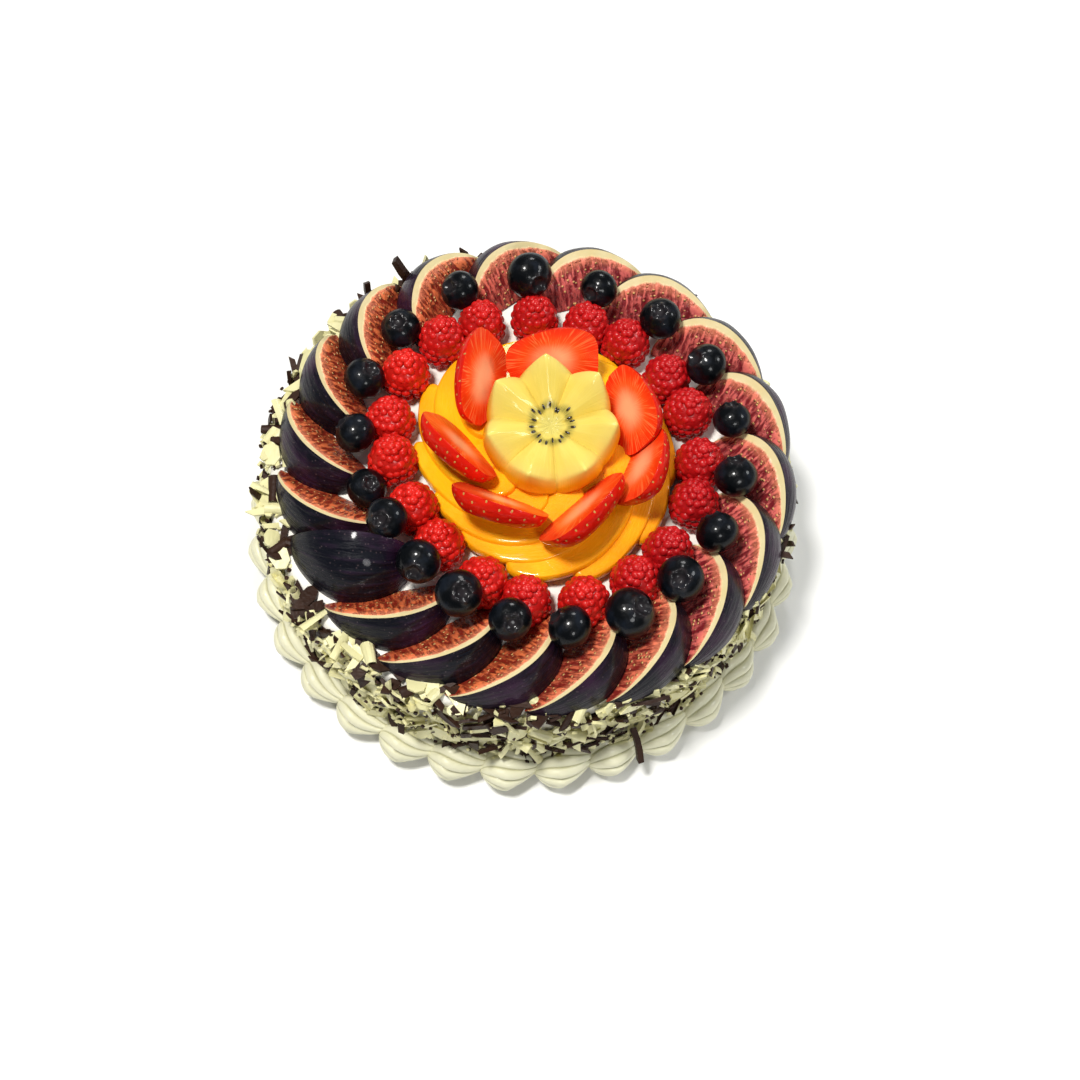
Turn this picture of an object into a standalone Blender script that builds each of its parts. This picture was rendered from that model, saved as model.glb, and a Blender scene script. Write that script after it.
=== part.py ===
"""Exotic fruit cake: an iced round cake with a piped shell border, chocolate shavings on its
wall, and a top of fig wedges, blueberries, raspberries, a mango rosette, strawberry slices and a
zigzag-cut golden kiwi. Metres, +Z up, origin at the centre of the base."""

from math import atan2, cos, hypot, pi, radians, sin, sqrt
import random

import bmesh
import bpy
from mathutils import Matrix, Vector
from mathutils.bvhtree import BVHTree

MM = 0.001

# Driving dimensions of the iced cake
CAKE_RADIUS = 100 * MM
CAKE_TOP = 56 * MM
EDGE_ROUND = 5 * MM
CAKE_STEPS = 60
# Touching pieces keep this clearance
GAP = 0.35 * MM
# A loose piece of less than this volume is a scrap of fusing
SCRAP = 20 * MM**3
# Edges that bend by more than this stay sharp in the shading
SHARP_ANGLE = 58

# Piped shell border round the foot
SHELLS = 32
SHELL_RING = 106.3 * MM
SHELL_LENGTH = 28 * MM
SHELL_WIDTH = 20 * MM
SHELL_HEIGHT = 20 * MM
SHELL_RIBS = 5

# Chocolate shavings on the wall, between these heights
FLAKES = 72
FLAKE_LOW = 20.5 * MM
FLAKE_HIGH = 54.5 * MM

# The rings of fruit are counted clockwise from the back, and pressed in on one side
BERRIES = 19
RING_MIDDLE = Vector((3 * MM, 1 * MM, 0))
RING_PRESS = 14 * MM
RING_PRESS_SIDE = 214

# Fig wedges
FIG_LENGTH = 49 * MM
FIG_RADIUS = 24 * MM
FIG_RING = 80.5 * MM
FIG_PRESS = 0.35
FIG_CROWDING = 5
FIG_FACE_TILT = 53
FIG_WEDGE = 57
FIG_SKIN_UP = 13

# Blueberries on the figs, and the raspberries inside them
BLUEBERRY_RADIUS = 7.4 * MM
BLUEBERRY_RING = 77 * MM
BLUEBERRY_CROWDING = 7
RASPBERRY_WIDTH = 19 * MM
RASPBERRY_HEIGHT = 19 * MM
RASPBERRY_RING = 64 * MM
RASPBERRY_PINCH = 1.2
RASPBERRY_GROUPS = (
    (0,), (1, 2), (3, 4), (5, 6), (7, 8), (9,), (10, 11), (12, 13), (14, 15), (16,), (17, 18)
)

# Mango rosette
MANGO_SLICES = 12
MANGO_OUTER = 49.3 * MM
MANGO_INNER = 26 * MM
MANGO_WIDTH = 19 * MM
MANGO_THICK = 6 * MM
MANGO_SWEEP = 100
MANGO_RISE = 3.5 * MM
MANGO_BASE = 4.2 * MM
MANGO_LEAN = 24
MANGO_END = 0.18
MANGO_STEP = 0.8 * MM
MANGO_SEED = 8

# Golden kiwi half with a zigzag cut, in the middle of the rosette
HEART_MIDDLE = Vector((9.3 * MM, 5 * MM, 0))
KIWI_RADIUS = 23.6 * MM
KIWI_DEPTH = 24.5 * MM
KIWI_POINTS = 7
KIWI_TIP = 13.5 * MM
KIWI_VALLEY = 2.2 * MM
KIWI_VALLEY_RADIUS = 20.5 * MM
KIWI_TURN = 96.5
KIWI_TILT = 10

# Strawberry slices leaning back round the kiwi: bearing, distance out, turn and length
STRAWBERRIES = (
    (90, 30, 6, 33),
    (141, 34, 28, 36),
    (193, 34, 29, 33),
    (240, 35, 22, 34),
    (291, 34.5, 27, 36),
    (338, 36.5, 4, 30),
    (19, 31, 0, 32),
)
STRAWBERRY_WIDTH = 25 * MM
STRAWBERRY_THICK = 6.8 * MM
STRAWBERRY_LEAN = 56
STRAWBERRY_MIDDLE = 20 * MM


def clear_scene():
    for thing in list(bpy.data.objects):
        bpy.data.objects.remove(thing)


def new_collection(name, shown=True):
    made = bpy.data.collections.new(name)
    bpy.context.scene.collection.children.link(made)
    made.hide_render = not shown
    return made


def food_material(name, colour, roughness):
    made = bpy.data.materials.new(name)
    made.use_nodes = True
    shader = made.node_tree.nodes["Principled BSDF"]
    shader.inputs["Base Color"].default_value = (*colour, 1)
    shader.inputs["Roughness"].default_value = roughness
    shader.inputs["Metallic"].default_value = 0
    return made


def add_object(name, bm, collection, material=None):
    """Puts a bmesh into the scene as a named object, with its faces pointing out."""
    bmesh.ops.recalc_face_normals(bm, faces=bm.faces)
    mesh = bpy.data.meshes.new(name)
    bm.to_mesh(mesh)
    bm.free()
    made = bpy.data.objects.new(name, mesh)
    collection.objects.link(made)
    if material:
        mesh.materials.append(material)
    return made


def slice_off(bm, point, normal, finish=0):
    """Cuts away what lies in front of a plane and closes the cut with a flat face."""
    cut = bmesh.ops.bisect_plane(
        bm,
        geom=bm.verts[:] + bm.edges[:] + bm.faces[:],
        plane_co=point,
        plane_no=normal,
        clear_outer=True,
    )["geom_cut"]
    edges = [part for part in cut if isinstance(part, bmesh.types.BMEdge) and part.is_valid]
    for face in bmesh.ops.holes_fill(bm, edges=edges, sides=0)["faces"]:
        face.material_index = finish


def ring_reach(base, bearing):
    """How far out a ring of fruit lies at a bearing: less where it is pressed in."""
    return base - RING_PRESS * max(0, cos(bearing - radians(RING_PRESS_SIDE))) ** 2


def ring_spot(base, bearing):
    return RING_MIDDLE + Vector((cos(bearing), sin(bearing), 0)) * ring_reach(base, bearing)


def even_bearings(base, first):
    """Bearings that share a pressed-in ring's length evenly, clockwise from the first."""
    steps = 1440
    turn = 2 * pi / steps
    walked = [0]
    for step in range(steps):
        here = ring_spot(base, first - turn * step)
        walked.append(walked[-1] + (ring_spot(base, first - turn * (step + 1)) - here).length)
    bearings = []
    for number in range(BERRIES):
        target = walked[-1] * number / BERRIES
        passed = sum(1 for length in walked if length <= target) - 1
        bearings.append(first - turn * passed)
    return bearings


def mesh_tree(thing):
    """A search tree of an object's faces where they stand in the scene."""
    points = [thing.matrix_world @ vertex.co for vertex in thing.data.vertices]
    return BVHTree.FromPolygons(points, [face.vertices[:] for face in thing.data.polygons])


def corners(thing):
    return [thing.matrix_world @ vertex.co for vertex in thing.data.vertices]


def is_close(own, points, tree, others):
    """True where two meshes cross or come nearer than the clearance."""
    if own.overlap(tree):
        return True
    if any(tree.find_nearest(point, GAP)[0] for point in points):
        return True
    return any(own.find_nearest(point, GAP)[0] for point in others)


def drop(thing, neighbours, start, floor, step=0.4 * MM):
    """Lowers a loose fruit from a height until the next step would touch something."""
    around = [(mesh_tree(other), corners(other)) for other in neighbours]
    height = start
    while height - step > floor:
        thing.location.z = height - step
        bpy.context.view_layer.update()
        own = mesh_tree(thing)
        points = corners(thing)
        if any(is_close(own, points, tree, others) for tree, others in around):
            break
        height -= step
    thing.location.z = height
    bpy.context.view_layer.update()


def bake_place(thing):
    thing.data.transform(thing.matrix_world)
    thing.matrix_world = Matrix.Identity(4)
    bpy.context.view_layer.update()


def face_groups(bm):
    """The faces of a mesh, grouped by the closed surface that they belong to."""
    waiting = set(bm.faces)
    groups = []
    while waiting:
        edge_of_group = [waiting.pop()]
        group = list(edge_of_group)
        while edge_of_group:
            face = edge_of_group.pop()
            for edge in face.edges:
                fresh = [other for other in edge.link_faces if other in waiting]
                waiting.difference_update(fresh)
                edge_of_group += fresh
                group += fresh
        groups.append(group)
    return groups


def volume_of(faces):
    """The signed volume that a closed group of faces holds: a hollow's is negative."""
    total = 0
    for face in faces:
        first, *rest = [vertex.co for vertex in face.verts]
        for one, other in zip(rest, rest[1:]):
            total += first.dot(one.cross(other)) / 6
    return total


def keep_solid_surfaces(mesh):
    """Fills the hollows that fusing seals and drops loose scraps."""
    bm = bmesh.new()
    bm.from_mesh(mesh)
    for group in face_groups(bm):
        if volume_of(group) < SCRAP:
            bmesh.ops.delete(bm, geom=group, context="FACES")
    bm.to_mesh(mesh)
    bm.free()


def join_pieces(target, pieces, solver="MANIFOLD"):
    """Fuses every object of a collection onto the target with one Boolean union."""
    joiner = target.modifiers.new("join", "BOOLEAN")
    joiner.operation = "UNION"
    joiner.solver = solver
    joiner.operand_type = "COLLECTION"
    joiner.collection = pieces
    graph = bpy.context.evaluated_depsgraph_get()
    joined = bpy.data.meshes.new_from_object(target.evaluated_get(graph))
    target.modifiers.clear()
    keep_solid_surfaces(joined)
    target.data = joined
    for piece in list(pieces.objects):
        bpy.data.objects.remove(piece)
    bpy.data.collections.remove(pieces)


def cake_body(collection, material):
    """The iced cake: a turned block with a flat foot and a softly rounded top edge."""
    bm = bmesh.new()
    middle = CAKE_RADIUS - EDGE_ROUND
    outline = [(0, 0), (CAKE_RADIUS - 1 * MM, 0), (CAKE_RADIUS, 1 * MM)]
    outline += [(CAKE_RADIUS, CAKE_TOP / 2)]
    for part in range(4):
        turn = radians(30 * part)
        rise = CAKE_TOP - EDGE_ROUND + EDGE_ROUND * sin(turn)
        outline.append((middle + EDGE_ROUND * cos(turn), rise))
    outline.append((0, CAKE_TOP))
    points = [bm.verts.new((across, 0, up)) for across, up in outline]
    edges = [bm.edges.new(pair) for pair in zip(points, points[1:])]
    bmesh.ops.spin(
        bm,
        geom=points + edges,
        axis=(0, 0, 1),
        cent=(0, 0, 0),
        angle=2 * pi,
        steps=CAKE_STEPS,
        use_merge=True,
    )
    bmesh.ops.remove_doubles(bm, verts=bm.verts, dist=0.01 * MM)
    return add_object("cake", bm, collection, material)


def wall_flake(name, rng, turn, share, collection):
    """One shaving: a thin board or a small roll that stands on the cake's wall."""
    bm = bmesh.new()
    length = rng.uniform(8, 15) * MM
    if rng.random() < 0.35:
        width = 3.4 * MM
        bmesh.ops.create_cone(
            bm, cap_ends=True, segments=6, radius1=width / 2, radius2=width / 2.3, depth=length
        )
    else:
        width = rng.uniform(4, 7) * MM
        bmesh.ops.create_cube(bm, size=1)
        bmesh.ops.scale(bm, vec=(rng.uniform(1.8, 3) * MM, width, length), verts=bm.verts)
    tilt = radians(rng.uniform(-80, 80))
    spin = Matrix.Rotation(tilt, 3, "X")
    lean = Matrix.Rotation(radians(rng.uniform(-20, 20)), 3, "Y")
    bmesh.ops.rotate(bm, matrix=lean @ spin, verts=bm.verts)
    tall = length / 2 * abs(cos(tilt)) + width / 2 * abs(sin(tilt)) + 1 * MM
    height = FLAKE_LOW + tall + (FLAKE_HIGH - FLAKE_LOW - 2 * tall) * share
    reach = rng.uniform(0.3, 1.3) * MM
    bmesh.ops.translate(bm, vec=(CAKE_RADIUS + reach, 0, height), verts=bm.verts)
    bmesh.ops.rotate(bm, matrix=Matrix.Rotation(turn, 3, "Z"), verts=bm.verts)
    return add_object(name, bm, collection)


def add_flakes(cake):
    """Shavings spread evenly round the wall, at uneven heights, fused to the icing."""
    rng = random.Random(4)
    flakes = new_collection("flakes", shown=False)
    rows = 4
    for number in range(FLAKES):
        share = (number % rows + rng.uniform(0, 1)) / rows
        turn = 2 * pi * (number + rng.uniform(-0.3, 0.3)) / FLAKES
        wall_flake(f"flake_{number}", rng, turn, share, flakes)
    join_pieces(cake, flakes)


def shell(name, turn, collection):
    """One piped shell: a ribbed bulb that tapers back to a tail, anticlockwise."""
    bm = bmesh.new()
    bmesh.ops.create_uvsphere(bm, u_segments=2 * SHELL_RIBS, v_segments=5, radius=1)
    for vertex in bm.verts:
        across, up, along = vertex.co
        rib = 1 + 0.10 * cos(SHELL_RIBS * atan2(up, across))
        share = (along + 1) / 2
        taper = 1 - 0.62 * max(0, share - 0.35) / 0.65
        vertex.co = (
            across * rib * taper * SHELL_WIDTH / 2,
            along * SHELL_LENGTH / 2,
            up * rib * taper * SHELL_HEIGHT / 2 + 8.5 * MM + 2 * MM * share,
        )
    bmesh.ops.rotate(bm, matrix=Matrix.Rotation(radians(-8), 3, "Z"), verts=bm.verts)
    bmesh.ops.translate(bm, vec=(SHELL_RING, 0, 0), verts=bm.verts)
    bmesh.ops.rotate(bm, matrix=Matrix.Rotation(turn, 3, "Z"), verts=bm.verts)
    return add_object(name, bm, collection)


def shell_border(collection, material):
    """The chain of shells as one ring, flat on the board and clear of the cake's wall."""
    chain = new_collection("shells", shown=False)
    first = shell("shell_border", 0, collection)
    for number in range(1, SHELLS):
        shell(f"shell_{number}", 2 * pi * number / SHELLS, chain)
    join_pieces(first, chain)
    wall = CAKE_RADIUS + 0.6 * MM
    for vertex in first.data.vertices:
        out = hypot(vertex.co.x, vertex.co.y)
        if out < wall:
            vertex.co.x *= wall / out
            vertex.co.y *= wall / out
        vertex.co.z = max(vertex.co.z, 0)
    first.data.materials.clear()
    first.data.materials.append(material)
    return first


def fig_frame(number):
    """Where a fig wedge lies: its ridge's middle and the axes along it, out of it and up."""
    even = 92 - 360 * number / BERRIES
    bearing = radians(even - FIG_CROWDING * cos(radians(even - 340)))
    swing = radians(46 + 12 * cos(bearing - radians(40)))
    along = Vector((cos(bearing - swing), sin(bearing - swing), 0))
    out = Vector((-along.y, along.x, 0))
    reach = FIG_RING + (ring_reach(0, bearing)) * FIG_PRESS
    middle = RING_MIDDLE + Vector((cos(bearing), sin(bearing), 0)) * reach
    middle.z = CAKE_TOP + GAP
    return middle, along, out


def fig_solid(number, grow=0.0):
    """A fig wedge: a teardrop body between two flat cuts that meet at its ridge."""
    middle, along, out = fig_frame(number)
    tilt = 80 if number == FIG_SKIN_UP else FIG_FACE_TILT
    wedge = 76 if number == FIG_SKIN_UP else FIG_WEDGE
    bm = bmesh.new()
    bmesh.ops.create_uvsphere(bm, u_segments=20, v_segments=9, radius=1)
    for vertex in bm.verts:
        x, y, z = vertex.co
        neck = 1 - 0.16 * z - 0.10 * z * z
        girth = (FIG_RADIUS + grow) * neck
        vertex.co = (z * (FIG_LENGTH / 2 + grow), y * girth, x * girth)
    for angle, side in ((tilt, 1), (tilt - wedge, -1)):
        normal = Vector((0, -sin(radians(angle)), cos(radians(angle)))) * side
        slice_off(bm, normal * grow, normal, finish=1)
    place = Matrix((along, out, (0, 0, 1))).transposed()
    bmesh.ops.rotate(bm, matrix=place, verts=bm.verts)
    bmesh.ops.translate(bm, vec=middle, verts=bm.verts)
    if not grow:
        slice_off(bm, (0, 0, CAKE_TOP + GAP), (0, 0, -1))
    return bm


def cut_away(target, cutter):
    """Subtracts one object from another and removes it."""
    dent = target.modifiers.new("dent", "BOOLEAN")
    dent.operation = "DIFFERENCE"
    dent.object = cutter
    graph = bpy.context.evaluated_depsgraph_get()
    target.data = bpy.data.meshes.new_from_object(target.evaluated_get(graph))
    target.modifiers.clear()
    bpy.data.objects.remove(cutter)


def raspberry_room(collection):
    """The space of the raspberries, which the wedges' inner ends stay out of."""
    bm = bmesh.new()
    bmesh.ops.create_cone(bm, cap_ends=True, segments=32, radius1=1, radius2=1, depth=1)
    for vertex in bm.verts:
        bearing = atan2(vertex.co.y, vertex.co.x)
        edge = ring_spot(RASPBERRY_RING + RASPBERRY_WIDTH / 2 + 1 * MM, bearing)
        vertex.co = (edge.x, edge.y, CAKE_TOP + vertex.co.z * 80 * MM)
    return add_object("raspberry_room", bm, collection)


def fig_ring(collection, skin, flesh):
    """The overlapping wedges: each is dented where the next one anticlockwise lies under it."""
    figs = []
    cutters = new_collection("cutters", shown=False)
    for number in range(BERRIES):
        fig = add_object(f"fig_{number + 1:02d}", fig_solid(number), collection, skin)
        fig.data.materials.append(flesh)
        under = (number - 1) % BERRIES
        cut_away(fig, add_object(f"under_{number}", fig_solid(under, GAP), cutters))
        cut_away(fig, raspberry_room(cutters))
        figs.append(fig)
    bpy.data.collections.remove(cutters)
    return figs


def raspberry(name, bearing, tall, collection, material=None):
    """An upright raspberry: rows of pointed bumps on an egg-shaped body."""
    bm = bmesh.new()
    bmesh.ops.create_uvsphere(bm, u_segments=7, v_segments=6, radius=1)
    rows = [face for face in bm.faces if len(face.verts) == 4]
    bumps = bmesh.ops.poke(bm, faces=rows)["verts"]
    for vertex in bumps:
        vertex.co = vertex.co.normalized() * 1.06
    for vertex in bm.verts:
        x, y, z = vertex.co
        belly = (1 - 0.16 * z) * RASPBERRY_WIDTH / 2
        vertex.co = (x * belly, y * belly, (max(z, -0.72) + 0.72) / 1.72 * RASPBERRY_HEIGHT * tall)
    made = add_object(name, bm, collection, material)
    made.location = ring_spot(RASPBERRY_RING, bearing)
    made.location.z = CAKE_TOP + GAP
    made.rotation_euler = (0, 0, bearing)
    return made


def raspberry_ring(collection, material):
    """The raspberry ring: neighbours that touch are fused in pairs, and three stand single."""
    rng = random.Random(11)
    bearings = even_bearings(RASPBERRY_RING, radians(91))
    made = []
    for index, group in enumerate(RASPBERRY_GROUPS):
        mates = new_collection("mates", shown=False)
        berries = []
        for place, number in enumerate(group):
            nudge = radians(RASPBERRY_PINCH) * (len(group) - 1) * (1 - 2 * place)
            bearing = bearings[number] - nudge
            home = mates if place else collection
            tall = rng.uniform(0.92, 1.04)
            berry = raspberry(f"raspberry_{index + 1:02d}", bearing, tall, home, material)
            bpy.context.view_layer.update()
            bake_place(berry)
            berries.append(berry)
        if mates.objects:
            join_pieces(berries[0], mates)
        else:
            bpy.data.collections.remove(mates)
        made.append(berries[0])
    return made


def blueberries(collection, material, neighbours):
    """A blueberry dropped onto the inner side of each fig, its crown turned at random."""
    rng = random.Random(23)
    made = []
    for number in range(BERRIES):
        bm = bmesh.new()
        bmesh.ops.create_uvsphere(bm, u_segments=8, v_segments=5, radius=BLUEBERRY_RADIUS)
        crown = max(bm.verts, key=lambda vertex: vertex.co.z)
        bmesh.ops.scale(bm, vec=(1, 1, 0.9), verts=bm.verts)
        crown.co.z -= 2.2 * MM
        berry = add_object(f"blueberry_{number + 1:02d}", bm, collection, material)
        size = rng.uniform(0.9, 1.12)
        berry.scale = (size, size, size)
        berry.rotation_euler = (radians(rng.uniform(-60, 60)), radians(rng.uniform(-60, 60)), 0)
        even = 93 - 360 * number / BERRIES
        bearing = radians(even - BLUEBERRY_CROWDING * cos(radians(even - 5)))
        berry.location = ring_spot(BLUEBERRY_RING, bearing)
        drop(berry, neighbours + made[-1:], CAKE_TOP + 40 * MM, CAKE_TOP + 5 * MM)
        bake_place(berry)
        made.append(berry)
    return made


def mango_slice(name, number, rng, collection):
    """A flat-sided crescent of mango bent into a spiral that opens outwards clockwise."""
    bm = bmesh.new()
    bmesh.ops.create_uvsphere(bm, u_segments=8, v_segments=7, radius=1)
    start = 2 * pi * number / MANGO_SLICES
    lean = radians(MANGO_LEAN)
    floor = rng.uniform(0, MANGO_STEP)
    lift = rng.uniform(0, MANGO_STEP)
    start += radians(rng.uniform(-2, 2))
    for vertex in bm.verts:
        side, thick, along = vertex.co
        fullness = max(0.01, 1 - along * along) ** -MANGO_END
        side *= fullness
        thick *= fullness
        share = (1 - along) / 2
        turn = start - radians(MANGO_SWEEP) * share
        ring = MANGO_INNER + (ring_reach(MANGO_OUTER, turn) - MANGO_INNER) * share
        flat = MANGO_THICK / 2 * max(-1, min(1, thick * 1.5))
        wide = MANGO_WIDTH / 2 * side
        out = ring + wide * cos(lean) + flat * sin(lean)
        up = MANGO_RISE * (1 - share) + MANGO_BASE + lift - wide * sin(lean) + flat * cos(lean)
        vertex.co = HEART_MIDDLE.lerp(RING_MIDDLE, share)
        vertex.co += Vector((out * cos(turn), out * sin(turn), CAKE_TOP + GAP + max(up, floor)))
    return add_object(name, bm, collection)


def mango_rosette(collection, material):
    """The whorl of mango slices, fused where they overlap."""
    rng = random.Random(MANGO_SEED)
    slices = new_collection("slices", shown=False)
    first = mango_slice("mango_rosette", 0, rng, collection)
    for number in range(1, MANGO_SLICES):
        mango_slice(f"slice_{number}", number, rng, slices)
    join_pieces(first, slices, "EXACT")
    first.data.materials.clear()
    first.data.materials.append(material)
    return first


def kiwi_half(collection, material, neighbours):
    """The peeled kiwi half: a rounded cup whose rim rises to tips between deep valleys."""
    bm = bmesh.new()
    steps = 2 * KIWI_POINTS
    centre = bm.verts.new((0, 0, 0))
    foot = bm.verts.new((0, 0, -KIWI_DEPTH))
    rings = []
    for level in range(4):
        fall = level / 3
        ring = []
        for step in range(steps):
            turn = 2 * pi * step / steps + radians(KIWI_TURN)
            rim, reach = KIWI_TIP, KIWI_RADIUS
            if step % 2:
                rim, reach = KIWI_VALLEY, KIWI_VALLEY_RADIUS
            height = rim * (1 - fall) - KIWI_DEPTH * 0.88 * fall
            out = reach + (KIWI_RADIUS - reach) * fall
            out *= sqrt(1 - (min(height, 0) / KIWI_DEPTH) ** 2)
            ring.append(bm.verts.new((out * cos(turn), out * sin(turn), height)))
        rings.append(ring)
    for step in range(steps):
        after = (step + 1) % steps
        bm.faces.new((centre, rings[0][step], rings[0][after]))
        bm.faces.new((foot, rings[-1][after], rings[-1][step]))
        for upper, lower in zip(rings, rings[1:]):
            bm.faces.new((upper[step], lower[step], lower[after], upper[after]))
    kiwi = add_object("kiwi", bm, collection, material)
    kiwi.rotation_euler = (radians(KIWI_TILT), 0, 0)
    kiwi.location = HEART_MIDDLE
    drop(kiwi, neighbours, CAKE_TOP + 60 * MM, CAKE_TOP + KIWI_DEPTH + GAP)
    bake_place(kiwi)
    return kiwi


def strawberry_slice(name, sizes, collection, skin, flesh):
    """A lengthwise outer slice of strawberry: a flat cut inside and a domed back."""
    bearing, distance, turn, length = sizes
    bm = bmesh.new()
    bmesh.ops.create_uvsphere(bm, u_segments=12, v_segments=6, radius=1)
    for vertex in bm.verts:
        x, y, z = vertex.co
        point = 1 - 0.22 * x - 0.10 * x * x
        vertex.co = (x * length / 2 * MM, y * STRAWBERRY_WIDTH / 2 * point, z * STRAWBERRY_THICK)
    slice_off(bm, (0, 0, 0), (0, 0, 1), finish=1)
    slice_off(bm, (0, 0, -0.82 * STRAWBERRY_THICK), (0, 0, -1))
    made = add_object(name, bm, collection, skin)
    made.data.materials.append(flesh)
    angle = radians(bearing)
    heading = Matrix.Rotation(angle + radians(turn) + pi / 2, 3, "Z")
    lean = Matrix.Rotation(-radians(STRAWBERRY_LEAN), 3, "X")
    made.matrix_world = (heading @ lean).to_4x4()
    made.location = HEART_MIDDLE + Vector((cos(angle), sin(angle), 0)) * distance * MM
    return made


def strawberry_ring(collection, skin, flesh, neighbours):
    made = []
    for number, sizes in enumerate(STRAWBERRIES):
        berry = strawberry_slice(f"strawberry_{number + 1}", sizes, collection, skin, flesh)
        drop(berry, neighbours + made, CAKE_TOP + 55 * MM, CAKE_TOP + STRAWBERRY_MIDDLE)
        bake_place(berry)
        made.append(berry)
    return made


def shade_pieces(pieces):
    """Round pieces are shaded smooth, with their cut edges kept sharp."""
    for piece in pieces:
        piece.data.shade_smooth()
        piece.data.set_sharp_from_angle(angle=radians(SHARP_ANGLE))


def build_cake():
    clear_scene()
    parts = new_collection("exotic_fruit_cake")
    icing = food_material("white_icing", (0.86, 0.84, 0.78), 0.5)
    piping = food_material("piped_cream", (0.80, 0.76, 0.55), 0.45)
    fig_skin = food_material("fig_skin", (0.04, 0.02, 0.06), 0.35)
    fig_flesh = food_material("fig_flesh", (0.55, 0.10, 0.05), 0.4)
    blueberry = food_material("blueberry", (0.01, 0.015, 0.03), 0.2)
    red_berry = food_material("raspberry", (0.55, 0.01, 0.01), 0.3)
    mango = food_material("mango", (0.95, 0.38, 0.01), 0.25)
    kiwi_flesh = food_material("golden_kiwi", (0.85, 0.6, 0.1), 0.3)
    strawberry_skin = food_material("strawberry_skin", (0.6, 0.01, 0.01), 0.3)
    strawberry_flesh = food_material("strawberry_flesh", (0.85, 0.12, 0.04), 0.3)

    cake = cake_body(parts, icing)
    add_flakes(cake)
    shell_border(parts, piping)
    rosette = mango_rosette(parts, mango)
    figs = fig_ring(parts, fig_skin, fig_flesh)
    raspberries = raspberry_ring(parts, red_berry)
    around = [rosette] + raspberries
    slices = strawberry_ring(parts, strawberry_skin, strawberry_flesh, around)
    kiwi_half(parts, kiwi_flesh, [rosette] + slices)
    blueberries(parts, blueberry, figs + raspberries)
    shade_pieces(parts.objects)


build_cake()
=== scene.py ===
# %% [markdown]
# # An exotic fruit cake
#
# A round iced cake carries a crown of fruit: fig wedges round the rim, blueberries on the figs,
# a ring of raspberries, a whorl of mango slices, and strawberry slices round a golden kiwi.
# Its wall is covered with chocolate shavings, and a piped shell border runs round its foot.
# The solid model gives the place and size of every piece. This script dresses each of them with
# the shape and finish that the real food has.

# %% Load the solid model
import random
from math import atan2, cos, exp, hypot, pi, radians, sin, sqrt

import bmesh
import bpy
from mathutils import Matrix, Vector, noise


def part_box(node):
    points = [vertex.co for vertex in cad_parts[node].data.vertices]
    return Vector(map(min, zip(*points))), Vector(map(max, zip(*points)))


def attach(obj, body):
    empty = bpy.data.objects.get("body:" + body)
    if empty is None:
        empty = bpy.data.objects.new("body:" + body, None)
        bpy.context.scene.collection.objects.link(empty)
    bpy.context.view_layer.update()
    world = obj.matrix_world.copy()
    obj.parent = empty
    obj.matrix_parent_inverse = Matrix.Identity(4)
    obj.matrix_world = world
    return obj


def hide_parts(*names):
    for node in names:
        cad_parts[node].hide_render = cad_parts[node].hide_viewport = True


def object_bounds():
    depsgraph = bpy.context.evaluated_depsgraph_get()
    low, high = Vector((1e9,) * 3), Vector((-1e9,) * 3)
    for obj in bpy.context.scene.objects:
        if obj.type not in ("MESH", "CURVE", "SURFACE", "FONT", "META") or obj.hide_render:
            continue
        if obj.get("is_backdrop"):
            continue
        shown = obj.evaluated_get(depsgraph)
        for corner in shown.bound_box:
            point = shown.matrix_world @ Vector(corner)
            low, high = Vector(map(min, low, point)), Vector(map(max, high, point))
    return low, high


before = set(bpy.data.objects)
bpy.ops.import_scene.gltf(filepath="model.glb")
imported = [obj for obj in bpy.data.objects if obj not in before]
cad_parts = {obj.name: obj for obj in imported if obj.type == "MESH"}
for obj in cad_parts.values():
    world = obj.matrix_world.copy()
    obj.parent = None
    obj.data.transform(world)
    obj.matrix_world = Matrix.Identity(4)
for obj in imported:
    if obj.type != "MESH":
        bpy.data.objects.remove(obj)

cad_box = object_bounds()
print("nodes:", len(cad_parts))

# %% [markdown]
# ## Shared measures
#
# The pieces follow the same few rules as the solid model: two rings of berries that are pressed
# in on one side, and a heart, where the kiwi sits, a little off the middle. Each rule is a small
# function, so that every piece that follows it stays in step with the others.

# %% Measures of the cake and its rings
MM = 0.001
CAKE_RADIUS = 100 * MM
CAKE_TOP = 56 * MM
GAP = 0.35 * MM
BERRIES = 19
RING_MIDDLE = Vector((3 * MM, 1 * MM, 0))
RING_PRESS = 14 * MM
RING_PRESS_SIDE = 214
HEART_MIDDLE = Vector((9.3 * MM, 5 * MM, 0))


def direction(turn):
    return Vector((cos(turn), sin(turn), 0))


def ring_reach(base, bearing):
    return base - RING_PRESS * max(0, cos(bearing - radians(RING_PRESS_SIDE))) ** 2


def ring_spot(base, bearing):
    return RING_MIDDLE + direction(bearing) * ring_reach(base, bearing)


def clamp(value, low=0, high=1):
    return max(low, min(high, value))


# %% [markdown]
# ## The view
#
# The cake was seen from the front and from well above, so the camera looks down at about 61
# degrees. The lens and the aim come from the size of the cake in the view. The camera's three
# axes are worked out and set as one matrix, because it also rolls a little to one side.

# %% Camera
VIEW_PIXELS = 1080
LENS_PIXELS = 1436.22
SENSOR_WIDTH = 36
CAMERA_TILT = 61.4407
CAMERA_ROLL = 1.7737
CAMERA_DISTANCE = 560 * MM
AIM = Vector((3, 1, 56)) * MM
AIM_PIXEL = (532.653, 467.398)


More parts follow.
